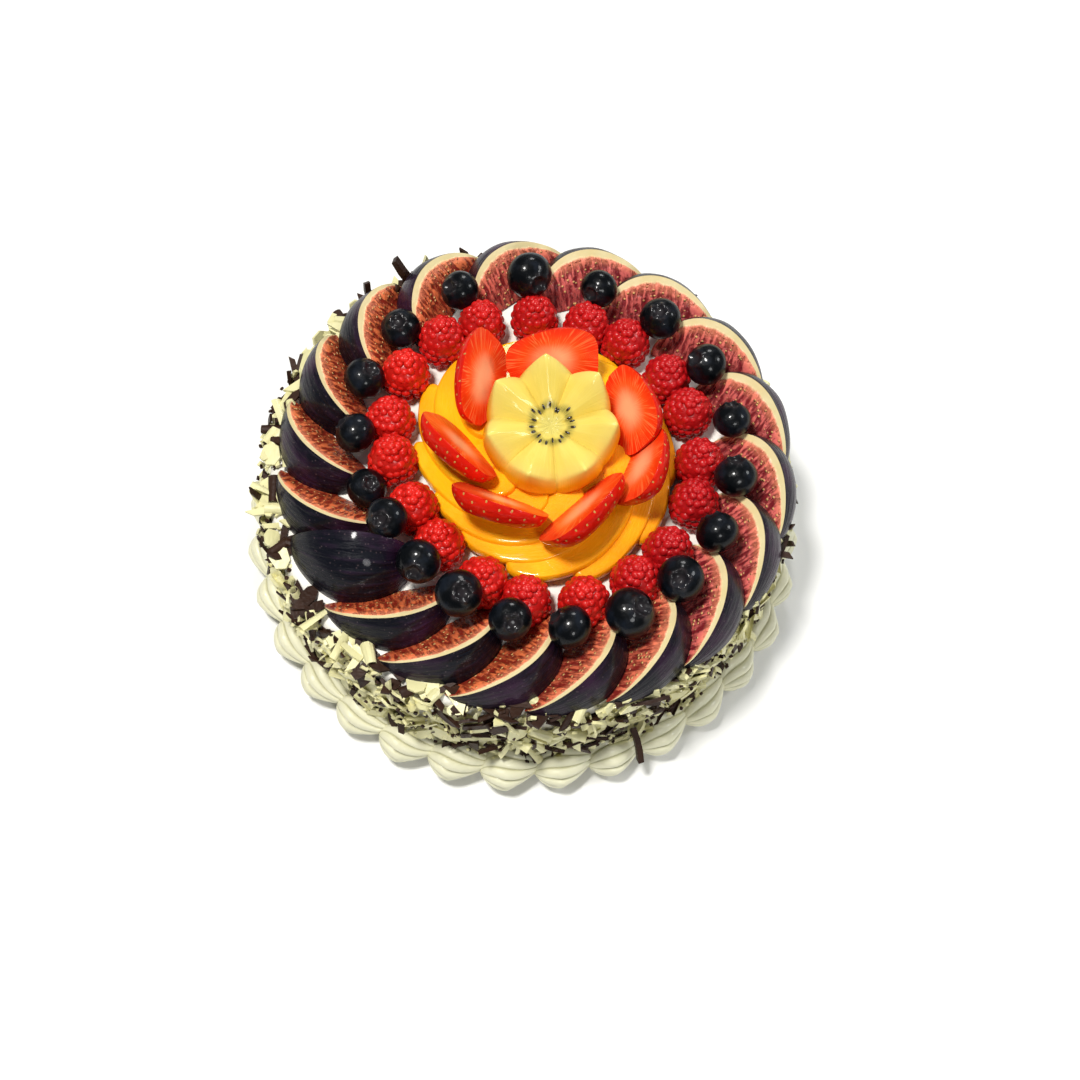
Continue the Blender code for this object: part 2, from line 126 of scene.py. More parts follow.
def place_camera():
    tilt = radians(CAMERA_TILT)
    roll = radians(CAMERA_ROLL)
    ahead = Vector((0, cos(tilt), -sin(tilt)))
    level = Vector((1, 0, 0))
    upright = Vector((0, sin(tilt), cos(tilt)))
    right = level * cos(roll) + upright * sin(roll)
    up = upright * cos(roll) - level * sin(roll)
    spot = AIM - ahead * CAMERA_DISTANCE
    x = (AIM_PIXEL[0] - VIEW_PIXELS / 2) / LENS_PIXELS
    y = (AIM_PIXEL[1] - VIEW_PIXELS / 2) / LENS_PIXELS
    sight = Vector((x, -y, 1)).normalized()
    turn = Vector((0, 0, 1)).rotation_difference(sight).to_matrix()
    axes = [row[0] * right + row[1] * up + row[2] * ahead for row in turn]
    frame_of_view = Matrix((axes[0], axes[1], -axes[2])).transposed().to_4x4()
    frame_of_view.translation = spot
    data = bpy.data.cameras.new("camera")
    data.sensor_width = SENSOR_WIDTH
    data.lens = SENSOR_WIDTH * LENS_PIXELS / VIEW_PIXELS
    data.clip_start = 0.01
    camera = bpy.data.objects.new("camera", data)
    camera.matrix_world = frame_of_view
    bpy.context.scene.collection.objects.link(camera)
    bpy.context.scene.camera = camera
    print("camera stands at", [round(v, 3) for v in spot])


place_camera()

# %% [markdown]
# ## Floor and light
#
# A plain pale floor and a few soft lamps stand in for a photographer's table. The main lamp
# hangs above and to the left, so that the colours stay deep and the glazed fruit gets small
# highlights, and weaker lamps fill the shadows.

# %% Floor
FLOOR_RADIUS = 2.2
FLOOR_COLOUR = (0.86, 0.86, 0.85, 1)


def make_floor():
    bm = bmesh.new()
    bmesh.ops.create_circle(bm, cap_ends=True, segments=96, radius=FLOOR_RADIUS)
    mesh = bpy.data.meshes.new("floor")
    bm.to_mesh(mesh)
    bm.free()
    paint = bpy.data.materials.new("floor")
    paint.use_nodes = True
    shader = paint.node_tree.nodes["Principled BSDF"]
    shader.inputs["Base Color"].default_value = FLOOR_COLOUR
    shader.inputs["Roughness"].default_value = 0.7
    mesh.materials.append(paint)
    floor = bpy.data.objects.new("floor", mesh)
    bpy.context.scene.collection.objects.link(floor)
    floor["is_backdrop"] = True


make_floor()
print("floor is", 2 * FLOOR_RADIUS, "m across")

# %% Lamps
LAMPS = (
    ("main_lamp", (-0.30, -0.05, 1.2), 0.22, 14.5, (1, 0.98, 0.95)),
    ("side_lamp", (0.95, 0.2, 0.75), 0.3, 3.6, (0.96, 0.98, 1)),
    ("back_lamp", (0.15, 0.9, 0.75), 0.3, 3.4, (1, 1, 1)),
    ("front_lamp", (0.35, -1.0, 0.9), 0.35, 4.2, (1, 1, 1)),
)
ROOM_COLOUR = (0.9, 0.94, 1, 1)
ROOM_STRENGTH = 0.14


def lamp(name, spot, size, watts, colour):
    data = bpy.data.lights.new(name, "AREA")
    data.shape = "DISK"
    data.size = size
    data.energy = watts
    data.color = colour
    made = bpy.data.objects.new(name, data)
    made.location = spot
    made.rotation_euler = (AIM - Vector(spot)).to_track_quat("-Z", "Y").to_euler()
    bpy.context.scene.collection.objects.link(made)


for one in LAMPS:
    lamp(*one)
world = bpy.data.worlds.new("room")
world.use_nodes = True
room = world.node_tree.nodes["Background"]
room.inputs["Color"].default_value = ROOM_COLOUR
room.inputs["Strength"].default_value = ROOM_STRENGTH
bpy.context.scene.world = world
bpy.context.scene.view_settings.view_transform = "Standard"

# %% [markdown]
# ## A small language for finishes
#
# A finish is a network of shader nodes. Wiring them one by one makes long scripts, so a value
# that comes out of a node is wrapped in a small class, and adding or multiplying two such values
# adds the node that does it. Every other node comes from one method of the finish, so a finish
# reads like the sum that it is.

# %% Wires
class Wire:
    """A value in a finish that takes part in sums like a number."""

    def __init__(self, finish, socket):
        self.finish = finish
        self.socket = socket

    def math(self, operation, first, second):
        return self.finish.node("ShaderNodeMath", {"operation": operation}, {0: first, 1: second})

    def __add__(self, other):
        return self.math("ADD", self, other)

    __radd__ = __add__

    def __sub__(self, other):
        return self.math("SUBTRACT", self, other)

    def __rsub__(self, other):
        return self.math("SUBTRACT", other, self)

    def __mul__(self, other):
        return self.math("MULTIPLY", self, other)

    __rmul__ = __mul__

    def __truediv__(self, other):
        return self.math("DIVIDE", self, other)

    def __pow__(self, other):
        return self.math("POWER", self, other)


print("a wire can be added, subtracted, multiplied, divided and raised to a power")


# %% Finishes
class Finish:
    """A material whose nodes are added by short calls."""

    def __init__(self, name, roughness=0.4, **fixed):
        self.material = bpy.data.materials.new(name)
        self.material.use_nodes = True
        self.tree = self.material.node_tree
        self.shader = self.tree.nodes["Principled BSDF"]
        self.shader.inputs["Roughness"].default_value = roughness
        for label, value in fixed.items():
            title = label.replace("_", " ").title().replace("Ior", "IOR")
            self.shader.inputs[title].default_value = value

    def node(self, kind, settings, values, output=0):
        """Adds a node, sets it up, feeds its sockets, and returns one of its outputs."""
        made = self.tree.nodes.new(kind)
        for label, value in settings.items():
            if label == "stops":
                ramp = made.color_ramp
                while len(ramp.elements) < len(value):
                    ramp.elements.new(1)
                for element, (place, colour) in zip(ramp.elements, value):
                    element.position = place
                    element.color = (*colour, 1)
            else:
                setattr(made, label, value)
        for label, value in values.items():
            self.feed(made.inputs[label], value)
        return Wire(self, made.outputs[output])

    def feed(self, socket, value):
        if isinstance(value, Wire):
            self.tree.links.new(value.socket, socket)
        elif isinstance(value, tuple) and len(value) == 3 and socket.type == "RGBA":
            socket.default_value = (*value, 1)
        else:
            socket.default_value = value

    def place(self):
        return self.node("ShaderNodeTexCoord", {}, {}, "Object")

    def kept(self, label, output="Fac"):
        """A value or colour that the mesh keeps at its corners."""
        return self.node("ShaderNodeAttribute", {"attribute_name": label}, {}, output)

    def noise(self, where, scale, detail=3.0, roughness=0.5, output="Fac"):
        sockets = {"Vector": where, "Scale": scale, "Detail": detail, "Roughness": roughness}
        return self.node("ShaderNodeTexNoise", {}, sockets, output)

    def spots(self, where, scale, output="Distance"):
        return self.node("ShaderNodeTexVoronoi", {}, {"Vector": where, "Scale": scale}, output)

    def stretch(self, where, size):
        return self.node(
            "ShaderNodeVectorMath", {"operation": "MULTIPLY"}, {0: where, 1: Vector(size)}
        )

    def step(self, value, low, high, first=0.0, last=1.0):
        """Goes softly from one number to another while the value goes from low to high."""
        return self.node(
            "ShaderNodeMapRange",
            {"interpolation_type": "SMOOTHSTEP"},
            {"Value": value, "From Min": low, "From Max": high, "To Min": first, "To Max": last},
        )

    def blend(self, share, first, second):
        return self.node(
            "ShaderNodeMix", {"data_type": "RGBA"}, {0: share, 6: first, 7: second}, 2
        )

    def colour(self, value):
        self.feed(self.shader.inputs["Base Color"], value)

    def gloss(self, value):
        self.feed(self.shader.inputs["Roughness"], value)

    def relief(self, height, depth):
        """Raises the surface by a height that is a number from 0 to 1 times a depth in metres."""
        bump = self.node("ShaderNodeBump", {}, {"Height": height, "Distance": depth}, "Normal")
        self.feed(self.shader.inputs["Normal"], bump)


def tell(*finishes):
    for made in finishes:
        print("finish", made.material.name, "has", len(made.tree.nodes), "nodes")


print("a finish is wired by:", [name for name in vars(Finish) if not name.startswith("_")])

# %% [markdown]
# ## From mesh to piece
#
# Every piece ends the same way: its faces are turned outwards, its finishes are set, round parts
# are shaded smooth while cut edges stay sharp, and the solids that it stands for are hidden. One
# function does all of it, so that no piece misses a step.

# %% Finishing a piece
def finish_piece(name, bm, finishes, nodes=(), sharp=42):
    bmesh.ops.recalc_face_normals(bm, faces=bm.faces)
    mesh = bpy.data.meshes.new(name)
    bm.to_mesh(mesh)
    bm.free()
    for finish in finishes:
        mesh.materials.append(finish.material)
    mesh.shade_smooth()
    mesh.set_sharp_from_angle(angle=radians(sharp))
    piece = bpy.data.objects.new(name, mesh)
    bpy.context.scene.collection.objects.link(piece)
    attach(piece, "root")
    if nodes:
        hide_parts(*nodes)
    return piece


def add_copy(bm, mesh, place=Matrix.Identity(4), slot=0):
    """Adds a moved copy of a small mesh to a growing one."""
    moved = mesh.copy()
    moved.transform(place)
    if slot:
        moved.polygons.foreach_set("material_index", [slot] * len(moved.polygons))
    bm.from_mesh(moved)
    bpy.data.meshes.remove(moved)


def as_mesh(name, bm):
    mesh = bpy.data.meshes.new(name)
    bm.to_mesh(mesh)
    bm.free()
    return mesh


print("solids to dress:", len(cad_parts))


# %% Cutting a fruit
CUT_EDGE = 0.35 * MM


def slice_off(bm, point, normal, finish=0):
    """Cuts away what lies in front of a plane and closes the cut with a flat face."""
    everything = bm.verts[:] + bm.edges[:] + bm.faces[:]
    cut = bmesh.ops.bisect_plane(
        bm, geom=everything, plane_co=point, plane_no=normal, clear_outer=True
    )["geom_cut"]
    edges = [part for part in cut if isinstance(part, bmesh.types.BMEdge) and part.is_valid]
    faces = bmesh.ops.holes_fill(bm, edges=edges, sides=0)["faces"]
    for face in faces:
        face.material_index = finish
    return faces


def soften_cut(bm):
    """Rounds the edge between a cut face and the skin, as a knife leaves it."""
    rim = [e for e in bm.edges if len({f.material_index for f in e.link_faces}) > 1]
    bmesh.ops.bevel(
        bm, geom=rim, offset=CUT_EDGE, affect="EDGES", segments=2, profile=0.5, material=-1,
        clamp_overlap=True,
    )


print("cut edges are rounded by", CUT_EDGE / MM, "mm")

# %% [markdown]
# ## The iced cake
#
# The cake is masked in thick whipped cream, smoothed with a palette knife, so its top is nearly
# flat with slow waves and its edge is soft. A cylinder with a bevel would do, but a profile spun
# round the axis sets the soft edge, the rows and the foot at once, and a little noise moves its
# points for the knife's waves.

# %% Cream finish
cream = Finish("whipped_cream", 0.42, coat_weight=0.15)
where = cream.place()
soft = cream.noise(where, 60, 2)
fine = cream.noise(where, 420, 3)
cream.colour(cream.blend(soft, (0.86, 0.83, 0.74), (0.93, 0.91, 0.85)))
cream.relief(soft * 0.6 + fine * 0.2, 0.0006)
tell(cream)

# %% Cake block
SOFT_EDGE = 5 * MM
TOP_RINGS = 14
TOP_WAVE = 0.7 * MM
WALL_WAVE = 0.8 * MM


def iced_block():
    bm = bmesh.new()
    flat = CAKE_RADIUS - SOFT_EDGE
    outline = [(share * flat / TOP_RINGS, CAKE_TOP) for share in range(TOP_RINGS + 1)]
    for part in range(1, 7):
        turn = radians(90 - 15 * part)
        out = flat + SOFT_EDGE * cos(turn)
        outline.append((out, CAKE_TOP - SOFT_EDGE + SOFT_EDGE * sin(turn)))
    outline += [(CAKE_RADIUS, (46 - 9 * row) * MM) for row in range(5)]
    outline += [(CAKE_RADIUS - 0.4 * MM, 0.2 * MM), (CAKE_RADIUS - 1.2 * MM, 0), (0, 0)]
    points = [bm.verts.new((out, 0, up)) for out, up in outline]
    edges = [bm.edges.new(pair) for pair in zip(points, points[1:])]
    bmesh.ops.spin(
        bm, geom=points + edges, axis=(0, 0, 1), cent=(0, 0, 0), angle=2 * pi, steps=144,
        use_merge=True,
    )
    bmesh.ops.remove_doubles(bm, verts=bm.verts, dist=0.02 * MM)
    for vertex in bm.verts:
        wave = noise.noise(vertex.co * 45) * 0.5 + 0.5
        if vertex.co.z > CAKE_TOP - 1 * MM:
            vertex.co.z -= wave * TOP_WAVE
        elif vertex.co.z > 2 * MM:
            vertex.co -= direction(atan2(vertex.co.y, vertex.co.x)) * wave * WALL_WAVE
    return finish_piece("iced_cake", bm, [cream], ["cake"])


block = iced_block()
print("iced cake:", len(block.data.polygons), "faces")

# %% [markdown]
# ## The piped border
#
# Each shell is piped with a star nozzle: the bag is squeezed until the cream swells, then pulled
# away to a tail. The ridges fan out from the tail over the bulb. A nozzle's star could be swept
# along a curve, but a stretched sphere closes both ends by itself. Its girth follows a wave with
# one crest for each ridge, twisted a little as the hand turned.

# %% Piped cream
piped = Finish("piped_cream", 0.45, coat_weight=0.15)
where = piped.place()
ridge = piped.kept("ridge")
mottle = piped.noise(where, 90, 3)
tint = piped.blend(mottle, (0.73, 0.71, 0.49), (0.79, 0.77, 0.56))
# The grooves between the ridges are painted a darker grey-green: painted shade in the creases.
piped.colour(piped.blend(piped.step(ridge, 0.0, 0.6), (0.50, 0.48, 0.29), tint))
piped.relief(piped.noise(where, 260, 4), 0.0004)
tell(piped)

# %% Shells
SHELLS = 32
SHELL_RING = 104.5 * MM
SHELL_SIZE = Vector((20, 28, 20)) * MM
SHELL_RIDGES = 10
SHELL_VALLEY = 0.87
SHELL_CREST = 0.155
SHELL_LIFT = 8.5 * MM
SHELL_TAIL_LIFT = 2 * MM
SHELL_TAPER = 0.74
SHELL_SWING = 9


def shell_points(bm, rng):
    """Bends a round mesh into a shell that lies along y, and keeps how high each ridge is."""
    # The kept ridge height is what the finish uses to paint shade into the grooves between the
    # ridges.
    keep = bm.verts.layers.float.new("ridge")
    twist = rng.uniform(0.3, 0.9)
    for vertex in bm.verts:
        across, up, along = vertex.co
        turn = atan2(up, across)
        girth = hypot(across, up)
        across, up = girth * cos(turn - twist * along), girth * sin(turn - twist * along)
        share = (along + 1) / 2
        crest = abs(cos(SHELL_RIDGES / 2 * turn)) ** 0.7
        rib = SHELL_VALLEY + SHELL_CREST * crest * min(1, 3 * (1 - abs(along)) + 0.25)
        taper = 1 - SHELL_TAPER * max(0, share - 0.3) / 0.7
        vertex[keep] = crest
        vertex.co = (
            across * rib * taper * SHELL_SIZE.x / 2,
            along * SHELL_SIZE.y / 2,
            up * rib * taper * SHELL_SIZE.z / 2 + SHELL_LIFT + SHELL_TAIL_LIFT * share,
        )


def piped_border():
    rng = random.Random(7)
    whole = bmesh.new()
    for number in range(SHELLS):
        bm = bmesh.new()
        bmesh.ops.create_uvsphere(bm, u_segments=80, v_segments=24, radius=1)
        shell_points(bm, rng)
        turn = 2 * pi * number / SHELLS
        swing = Matrix.Rotation(radians(SHELL_SWING + rng.uniform(-3, 3)), 4, "Z")
        out = Matrix.Translation((SHELL_RING + rng.uniform(-0.5, 0) * MM, 0, 0))
        place = Matrix.Rotation(turn, 4, "Z") @ out @ swing
        bmesh.ops.transform(bm, matrix=place, verts=bm.verts)
        for vertex in bm.verts:
            vertex.co.z = max(vertex.co.z, 0)
        add_copy(whole, as_mesh("shell", bm))
    return finish_piece("piped_border", whole, [piped], ["shell_border"], 60)


piped_border()
print("shells:", SHELLS)

# %% [markdown]
# ## Chocolate shavings
#
# White and dark chocolate is scraped from a block, so it comes off as thin boards, splinters and
# curls. They are pressed against the wall by the handful and sprinkled over the rim. A few kinds
# are made once each with few faces, and many turned copies of them are scattered, which keeps
# the mesh light though there are about two thousand.

# %% Chocolate finishes
white_chocolate = Finish("white_chocolate", 0.4, coat_weight=0.1)
where = white_chocolate.place()
patch = white_chocolate.noise(where, 70, 2)
white_chocolate.colour(white_chocolate.blend(patch, (0.64, 0.59, 0.27), (0.82, 0.79, 0.47)))
grain = white_chocolate.stretch(where, (1, 1, 3))
white_chocolate.relief(white_chocolate.noise(grain, 500), 0.0003)

dark_chocolate = Finish("dark_chocolate", 0.5, specular_ior_level=0.2)
where = dark_chocolate.place()
patch = dark_chocolate.noise(where, 120, 3)
dark_chocolate.colour(dark_chocolate.blend(patch, (0.012, 0.005, 0.003), (0.050, 0.020, 0.010)))
dark_chocolate.relief(dark_chocolate.noise(where, 700, 3), 0.0003)
tell(white_chocolate, dark_chocolate)


# %% Boards, curls and flakes
def splinter(length, width, thick, skew=0.0):
    """A straight board of chocolate with slanting broken ends."""
    bm = bmesh.new()
    bmesh.ops.create_cube(bm, size=1)
    bmesh.ops.subdivide_edges(
        bm, edges=[e for e in bm.edges if abs((e.verts[0].co - e.verts[1].co).z) > 0.5], cuts=2
    )
    for vertex in bm.verts:
        x, y, z = vertex.co
        narrow = 1 - 0.18 * (2 * z) ** 2
        bow = 0.04 * length * (1 - (2 * z) ** 2)
        slant = skew * y * width * 2 * z
        vertex.co = (x * thick + bow, y * width * narrow, z * length + slant)
    return bm


def curl(length, radius, turns, thick):
    """A strip of chocolate rolled up across its width."""
    bm = bmesh.new()
    bmesh.ops.create_grid(bm, x_segments=9, y_segments=1, size=0.5)
    for vertex in bm.verts:
        x, y, _ = vertex.co
        turn = 2 * pi * turns * (x + 0.5)
        reach = radius * (0.75 + 0.25 * (x + 0.5)) * (1 - 0.25 * (y + 0.5))
        vertex.co = (reach * cos(turn), reach * sin(turn), y * length)
    bmesh.ops.solidify(bm, geom=bm.faces[:], thickness=thick)
    return bm


def flake(length, width, thick, rng):
    """A chip with seven uneven sides, bent a little across."""
    bm = bmesh.new()
    bmesh.ops.create_circle(bm, cap_ends=True, segments=7, radius=0.5)
    for vertex in bm.verts:
        vertex.co *= rng.uniform(0.75, 1.15)
        x, y, _ = vertex.co
        vertex.co = (0.12 * width * sin(5 * y), x * width, y * length)
    grown = bmesh.ops.extrude_face_region(bm, geom=bm.faces[:])["geom"]
    tops = [part for part in grown if isinstance(part, bmesh.types.BMVert)]
    bmesh.ops.translate(bm, vec=(thick, 0, 0), verts=tops)
    return bm


print("a chip has", len(flake(2 * MM, 2 * MM, 1 * MM, random.Random(1)).faces), "faces")


# %% Kinds of shaving
def shaving_kinds(seed, grow):
    """Boards, curls and flakes of one sort of chocolate, made larger by one factor."""
    rng = random.Random(seed)
    kinds = []
    for _ in range(7):
        size = (rng.uniform(7, 15), rng.uniform(1.8, 4.2), rng.uniform(0.8, 1.5))
        kinds.append(splinter(*[v * MM for v in size], rng.uniform(-1, 1)))
    for _ in range(4):
        size = (rng.uniform(6, 11) * MM, rng.uniform(1.5, 2.8) * MM)
        kinds.append(curl(*size, rng.uniform(0.4, 0.85), 0.7 * MM))
    for _ in range(4):
        kinds.append(flake(rng.uniform(5, 10) * MM, rng.uniform(4, 7) * MM, 1.0 * MM, rng))
    for bm in kinds:
        bmesh.ops.scale(bm, vec=(1, grow, grow), verts=bm.verts)
    return [as_mesh("shaving", bm) for bm in kinds]


print("kinds of shaving:", len(shaving_kinds(1, 1)))

# %% [markdown]
# ## Scattering the shavings
#
# A shaving on the wall lies nearly flat against it, turned any way. One on the rim lies nearly
# flat on the top. Particles could strew them, but a seeded draw of places gives the same cake
# each time. The places are drawn evenly round the cake, so no side is bare.

# %% Places on the wall and the rim
WALL_LOW = 15
WALL_HIGH = 55.5
RIM_INNER = 90
RIM_OUTER = 101.5
RIM_FULLEST = 101


def wall_place(rng):
    turn = rng.uniform(0, 2 * pi)
    height = rng.uniform(WALL_LOW, WALL_HIGH) * MM
    out = CAKE_RADIUS + rng.uniform(0.0, 3.4) * MM
    spin = Matrix.Rotation(radians(rng.uniform(-90, 90)), 4, "X")
    lean = Matrix.Rotation(radians(rng.uniform(-34, 34)), 4, "Y")
    swing = Matrix.Rotation(radians(rng.uniform(-30, 30)), 4, "Z")
    return (
        Matrix.Rotation(turn, 4, "Z") @ Matrix.Translation((out, 0, height)) @ swing @ lean @ spin
    )


def rim_place(rng):
    turn = rng.uniform(0, 2 * pi)
    out = rng.triangular(RIM_INNER, RIM_OUTER, RIM_FULLEST) * MM
    drop = 3 * MM * max(0, (out - 96 * MM) / (6 * MM)) ** 2
    height = CAKE_TOP + rng.uniform(0.4, 2.8) * MM - drop
    flat = Matrix.Rotation(radians(90 + rng.uniform(-22, 22)), 4, "Y")
    spin = Matrix.Rotation(rng.uniform(0, 2 * pi), 4, "X")
    return Matrix.Rotation(turn, 4, "Z") @ Matrix.Translation((out, 0, height)) @ flat @ spin


print("shavings lie from", WALL_LOW, "mm up the wall to", RIM_INNER, "mm from the axis")


# %% Scattered shavings
def scatter(name, finish, seed, grow, wall, rim, crumbs, sticks=()):
    rng = random.Random(seed)
    kinds = shaving_kinds(seed, grow)
    crumb = as_mesh("crumb", flake(2.0 * MM, 1.5 * MM, 0.9 * MM, rng))
    whole = bmesh.new()
    for number in range(wall + rim):
        place = wall_place(rng) if number < wall else rim_place(rng)
        add_copy(whole, rng.choice(kinds), place)
    for number in range(crumbs):
        place = rim_place(rng) if number % 4 == 0 else wall_place(rng)
        add_copy(whole, crumb, place @ Matrix.Translation((1.5 * MM, 0, 0)))
    for spot, aim, length, width in sticks:
        facing = Vector(aim).to_track_quat("Z", "Y").to_matrix().to_4x4()
        stick = as_mesh("stick", splinter(length * MM, width * MM, width * 0.8 * MM, 0.4))
        add_copy(whole, stick, Matrix.Translation(Vector(spot) * MM) @ facing)
    return finish_piece(name, whole, [finish], ["cake"], 30)


STICKS = (
    ((-51, 85, 63), (-0.45, 0.1, 0.9), 20, 3.4),
    ((-66, 77, 60), (-0.1, 0.2, 0.95), 13, 3.0),
    ((46, -98, 19), (0.25, -0.62, -0.75), 15, 2.8),
)
white = scatter("white_shavings", white_chocolate, 31, 1.1, 840, 140, 200)
dark = scatter("dark_shavings", dark_chocolate, 32, 1.15, 350, 100, 420, STICKS)
print("shavings:", len(white.data.polygons) + len(dark.data.polygons), "faces")

# %% [markdown]
# ## Fig wedges
#
# A fig is cut in wedges from stalk to base. The skin stays on the outside, then comes a pale
# band of pith, and the red pulp with its golden seeds fills the middle. Each wedge is a teardrop
# body cut by two planes that meet at its ridge, which leaves true flat faces with a clean edge.
# The mesh keeps the place of every point inside the fig, so that the pulp's threads can run from
# the ridge to the pith.

# %% Fig skin
def inside_place(finish):
    """The place inside a fruit that its mesh keeps, whole and as three numbers."""
    kept = finish.kept("inside", "Vector")
    return kept, [finish.node("ShaderNodeSeparateXYZ", {}, {0: kept}, n) for n in range(3)]


def fig_girth(along, reach):
    """How far from the core to the skin, from 0 to 1, along a teardrop body."""
    body = (1 - 0.16 * along - 0.10 * along * along) * (1.002 - along * along) ** 0.5
    return reach / body


fig_skin = Finish("fig_skin", 0.42, specular_ior_level=0.1, coat_weight=0.22, coat_roughness=0.1)
where = fig_skin.place()
streaks = fig_skin.noise(fig_skin.stretch(fig_skin.kept("rind", "Vector"), (0.9, 4.5, 1)), 2, 6)
blush = fig_skin.noise(where, 34, 5, 0.6)
specks = fig_skin.step(fig_skin.spots(where, 520), 0.10, 0.2, 1, 0)
ripeness = fig_skin.step(blush, 0.44, 0.68)
base = fig_skin.blend(ripeness, (0.0025, 0.003, 0.007), (0.032, 0.009, 0.030))
base = fig_skin.blend(fig_skin.step(streaks, 0.5, 0.75, 0, 0.4), base, (0.040, 0.018, 0.044))
fig_skin.colour(fig_skin.blend(specks * 0.3, base, (0.16, 0.11, 0.12)))
fig_skin.relief(streaks + blush * 0.4, 0.0014)
tell(fig_skin)

# %% Fig flesh
fig_flesh = Finish(
    "fig_flesh", 0.35, specular_ior_level=0.35, coat_weight=0.35, coat_roughness=0.12
)
kept, (along, reach, tone) = inside_place(fig_flesh)
girth = fig_girth(along, reach)
where = fig_flesh.place()
ragged = fig_flesh.noise(where, 300, 2) * 0.08 + fig_flesh.noise(where, 90, 1) * 0.05
depth = girth + ragged - 0.065 + along * along * 0.07
pulp_noise = fig_flesh.noise(where, 330, 4)
threads = fig_flesh.noise(fig_flesh.stretch(kept, (11, 2.4, 0)), 1.4, 3)
pinkness = fig_flesh.step(tone, 0.3, 0.8)
bright = fig_flesh.blend(pinkness, (1.0, 0.24, 0.08), (0.95, 0.20, 0.17))
dark = fig_flesh.blend(pinkness, (0.24, 0.020, 0.009), (0.20, 0.014, 0.020))
inner = fig_flesh.step(depth, 0.25, 0.86)
strand = fig_flesh.step(threads * 0.75 + pulp_noise * 0.25, 0.42, 0.58)
pulp = fig_flesh.blend(strand * (inner * 0.6 + 0.4), dark, bright)
pulp = fig_flesh.blend(fig_flesh.step(depth, 0.62, 0.82, 0, 0.6), pulp, (0.92, 0.30, 0.16))
seeds = fig_flesh.spots(where, 430)
seeded = fig_flesh.step(seeds, 0.16, 0.27, 0.9, 0) * fig_flesh.step(depth, 0.72, 0.82, 1, 0)
pulp = fig_flesh.blend(seeded, pulp, (0.92, 0.55, 0.20))
pith = fig_flesh.blend(fig_flesh.noise(where, 150, 2), (0.80, 0.64, 0.28), (0.92, 0.82, 0.50))
face = fig_flesh.blend(fig_flesh.step(depth, 0.82, 0.88), pulp, pith)
fig_flesh.colour(fig_flesh.blend(fig_flesh.step(girth, 0.975, 0.99), face, (0.03, 0.018, 0.03)))
bumpy = fig_flesh.step(seeds, 0.1, 0.3, 1, 0) + strand + pulp_noise
fig_flesh.relief(bumpy * fig_flesh.step(depth, 0.80, 0.88, 1, 0.06), 0.0006)
tell(fig_flesh)

# %% Where the figs lie
FIG_LENGTH = 49 * MM
FIG_RADIUS = 24 * MM
FIG_RING = 80.5 * MM
FIG_PRESS = 0.35
FIG_START = 92
FIG_CROWDING = 5
FIG_CROWDED_SIDE = 340
FIG_SWING = 46
FIG_MORE_SWING = 12
FIG_MORE_SWING_SIDE = 40
FIG_FACE_TILT = 53
FIG_LOW = 9
FIG_LOW_SIDE = 240
FIG_FOOT_TILT = 4
FIG_SKIN_UP = 13
FIG_SKIN_UP_TILT = 80


def fig_axes(number):
    """Where a fig wedge lies: its ridge's middle and the axes along it and out of it."""
    even = FIG_START - 360 * number / BERRIES
    bearing = radians(even - FIG_CROWDING * cos(radians(even - FIG_CROWDED_SIDE)))
    more = FIG_MORE_SWING * cos(bearing - radians(FIG_MORE_SWING_SIDE))
    swing = radians(FIG_SWING + more)
    along = direction(bearing - swing)
    out = Vector((-along.y, along.x, 0))
    reach = FIG_RING + ring_reach(0, bearing) * FIG_PRESS
    middle = RING_MIDDLE + direction(bearing) * reach
    middle.z = CAKE_TOP + GAP
    return middle, Matrix((along, out, (0, 0, 1))).transposed()


print("first fig lies at", [round(v / MM) for v in fig_axes(0)[0]], "mm")


# %% Fig shapes
def neck(z):
    return 1 - 0.16 * z - 0.10 * z * z


def fig_wedge(number, rng):
    middle, axes = fig_axes(number)
    facing = max(0, cos(atan2(middle.y, middle.x) - radians(FIG_LOW_SIDE)))
    tilt = FIG_SKIN_UP_TILT if number == FIG_SKIN_UP else FIG_FACE_TILT - FIG_LOW * facing
    shift = Vector((rng.uniform(0, 9), rng.uniform(0, 9), number))
    bm = bmesh.new()
    bmesh.ops.create_uvsphere(bm, u_segments=96, v_segments=40, radius=1)
    for vertex in bm.verts:
        x, y, z = vertex.co
        girth = FIG_RADIUS * neck(z) * (0.985 + 0.02 * noise.noise(vertex.co * 2.2 + shift))
        vertex.co = (z * FIG_LENGTH / 2, y * girth, x * girth)
    for angle, side in ((tilt, 1), (-FIG_FOOT_TILT, -1)):
        normal = Vector((0, -sin(radians(angle)), cos(radians(angle)))) * side
        slice_off(bm, (0, 0, 0), normal, finish=1)
    soften_cut(bm)
    keep = bm.verts.layers.float_vector.new("inside")
    rind = bm.verts.layers.float_vector.new("rind")
    pinkness = 0.5 + 0.6 * cos(2 * pi * (number - 5) / BERRIES) + rng.uniform(-0.3, 0.3)
    for vertex in bm.verts:
        reach = hypot(vertex.co.y, vertex.co.z) / FIG_RADIUS
        along = vertex.co.x / (FIG_LENGTH / 2)
        vertex[keep] = (along, reach, clamp(pinkness))
        vertex[rind] = (along, atan2(vertex.co.z, vertex.co.y), 3 * number)
    place = axes.to_4x4()
    place.translation = middle
    bmesh.ops.transform(bm, matrix=place, verts=bm.verts)
    slice_off(bm, (0, 0, CAKE_TOP + GAP), (0, 0, -1))
    node = f"fig_{number + 1:02d}"
    return finish_piece(f"{node}_wedge", bm, [fig_skin, fig_flesh], [node], 35)


rng = random.Random(5)
for number in range(BERRIES):
    fig_wedge(number, rng)
print("fig wedges:", BERRIES)
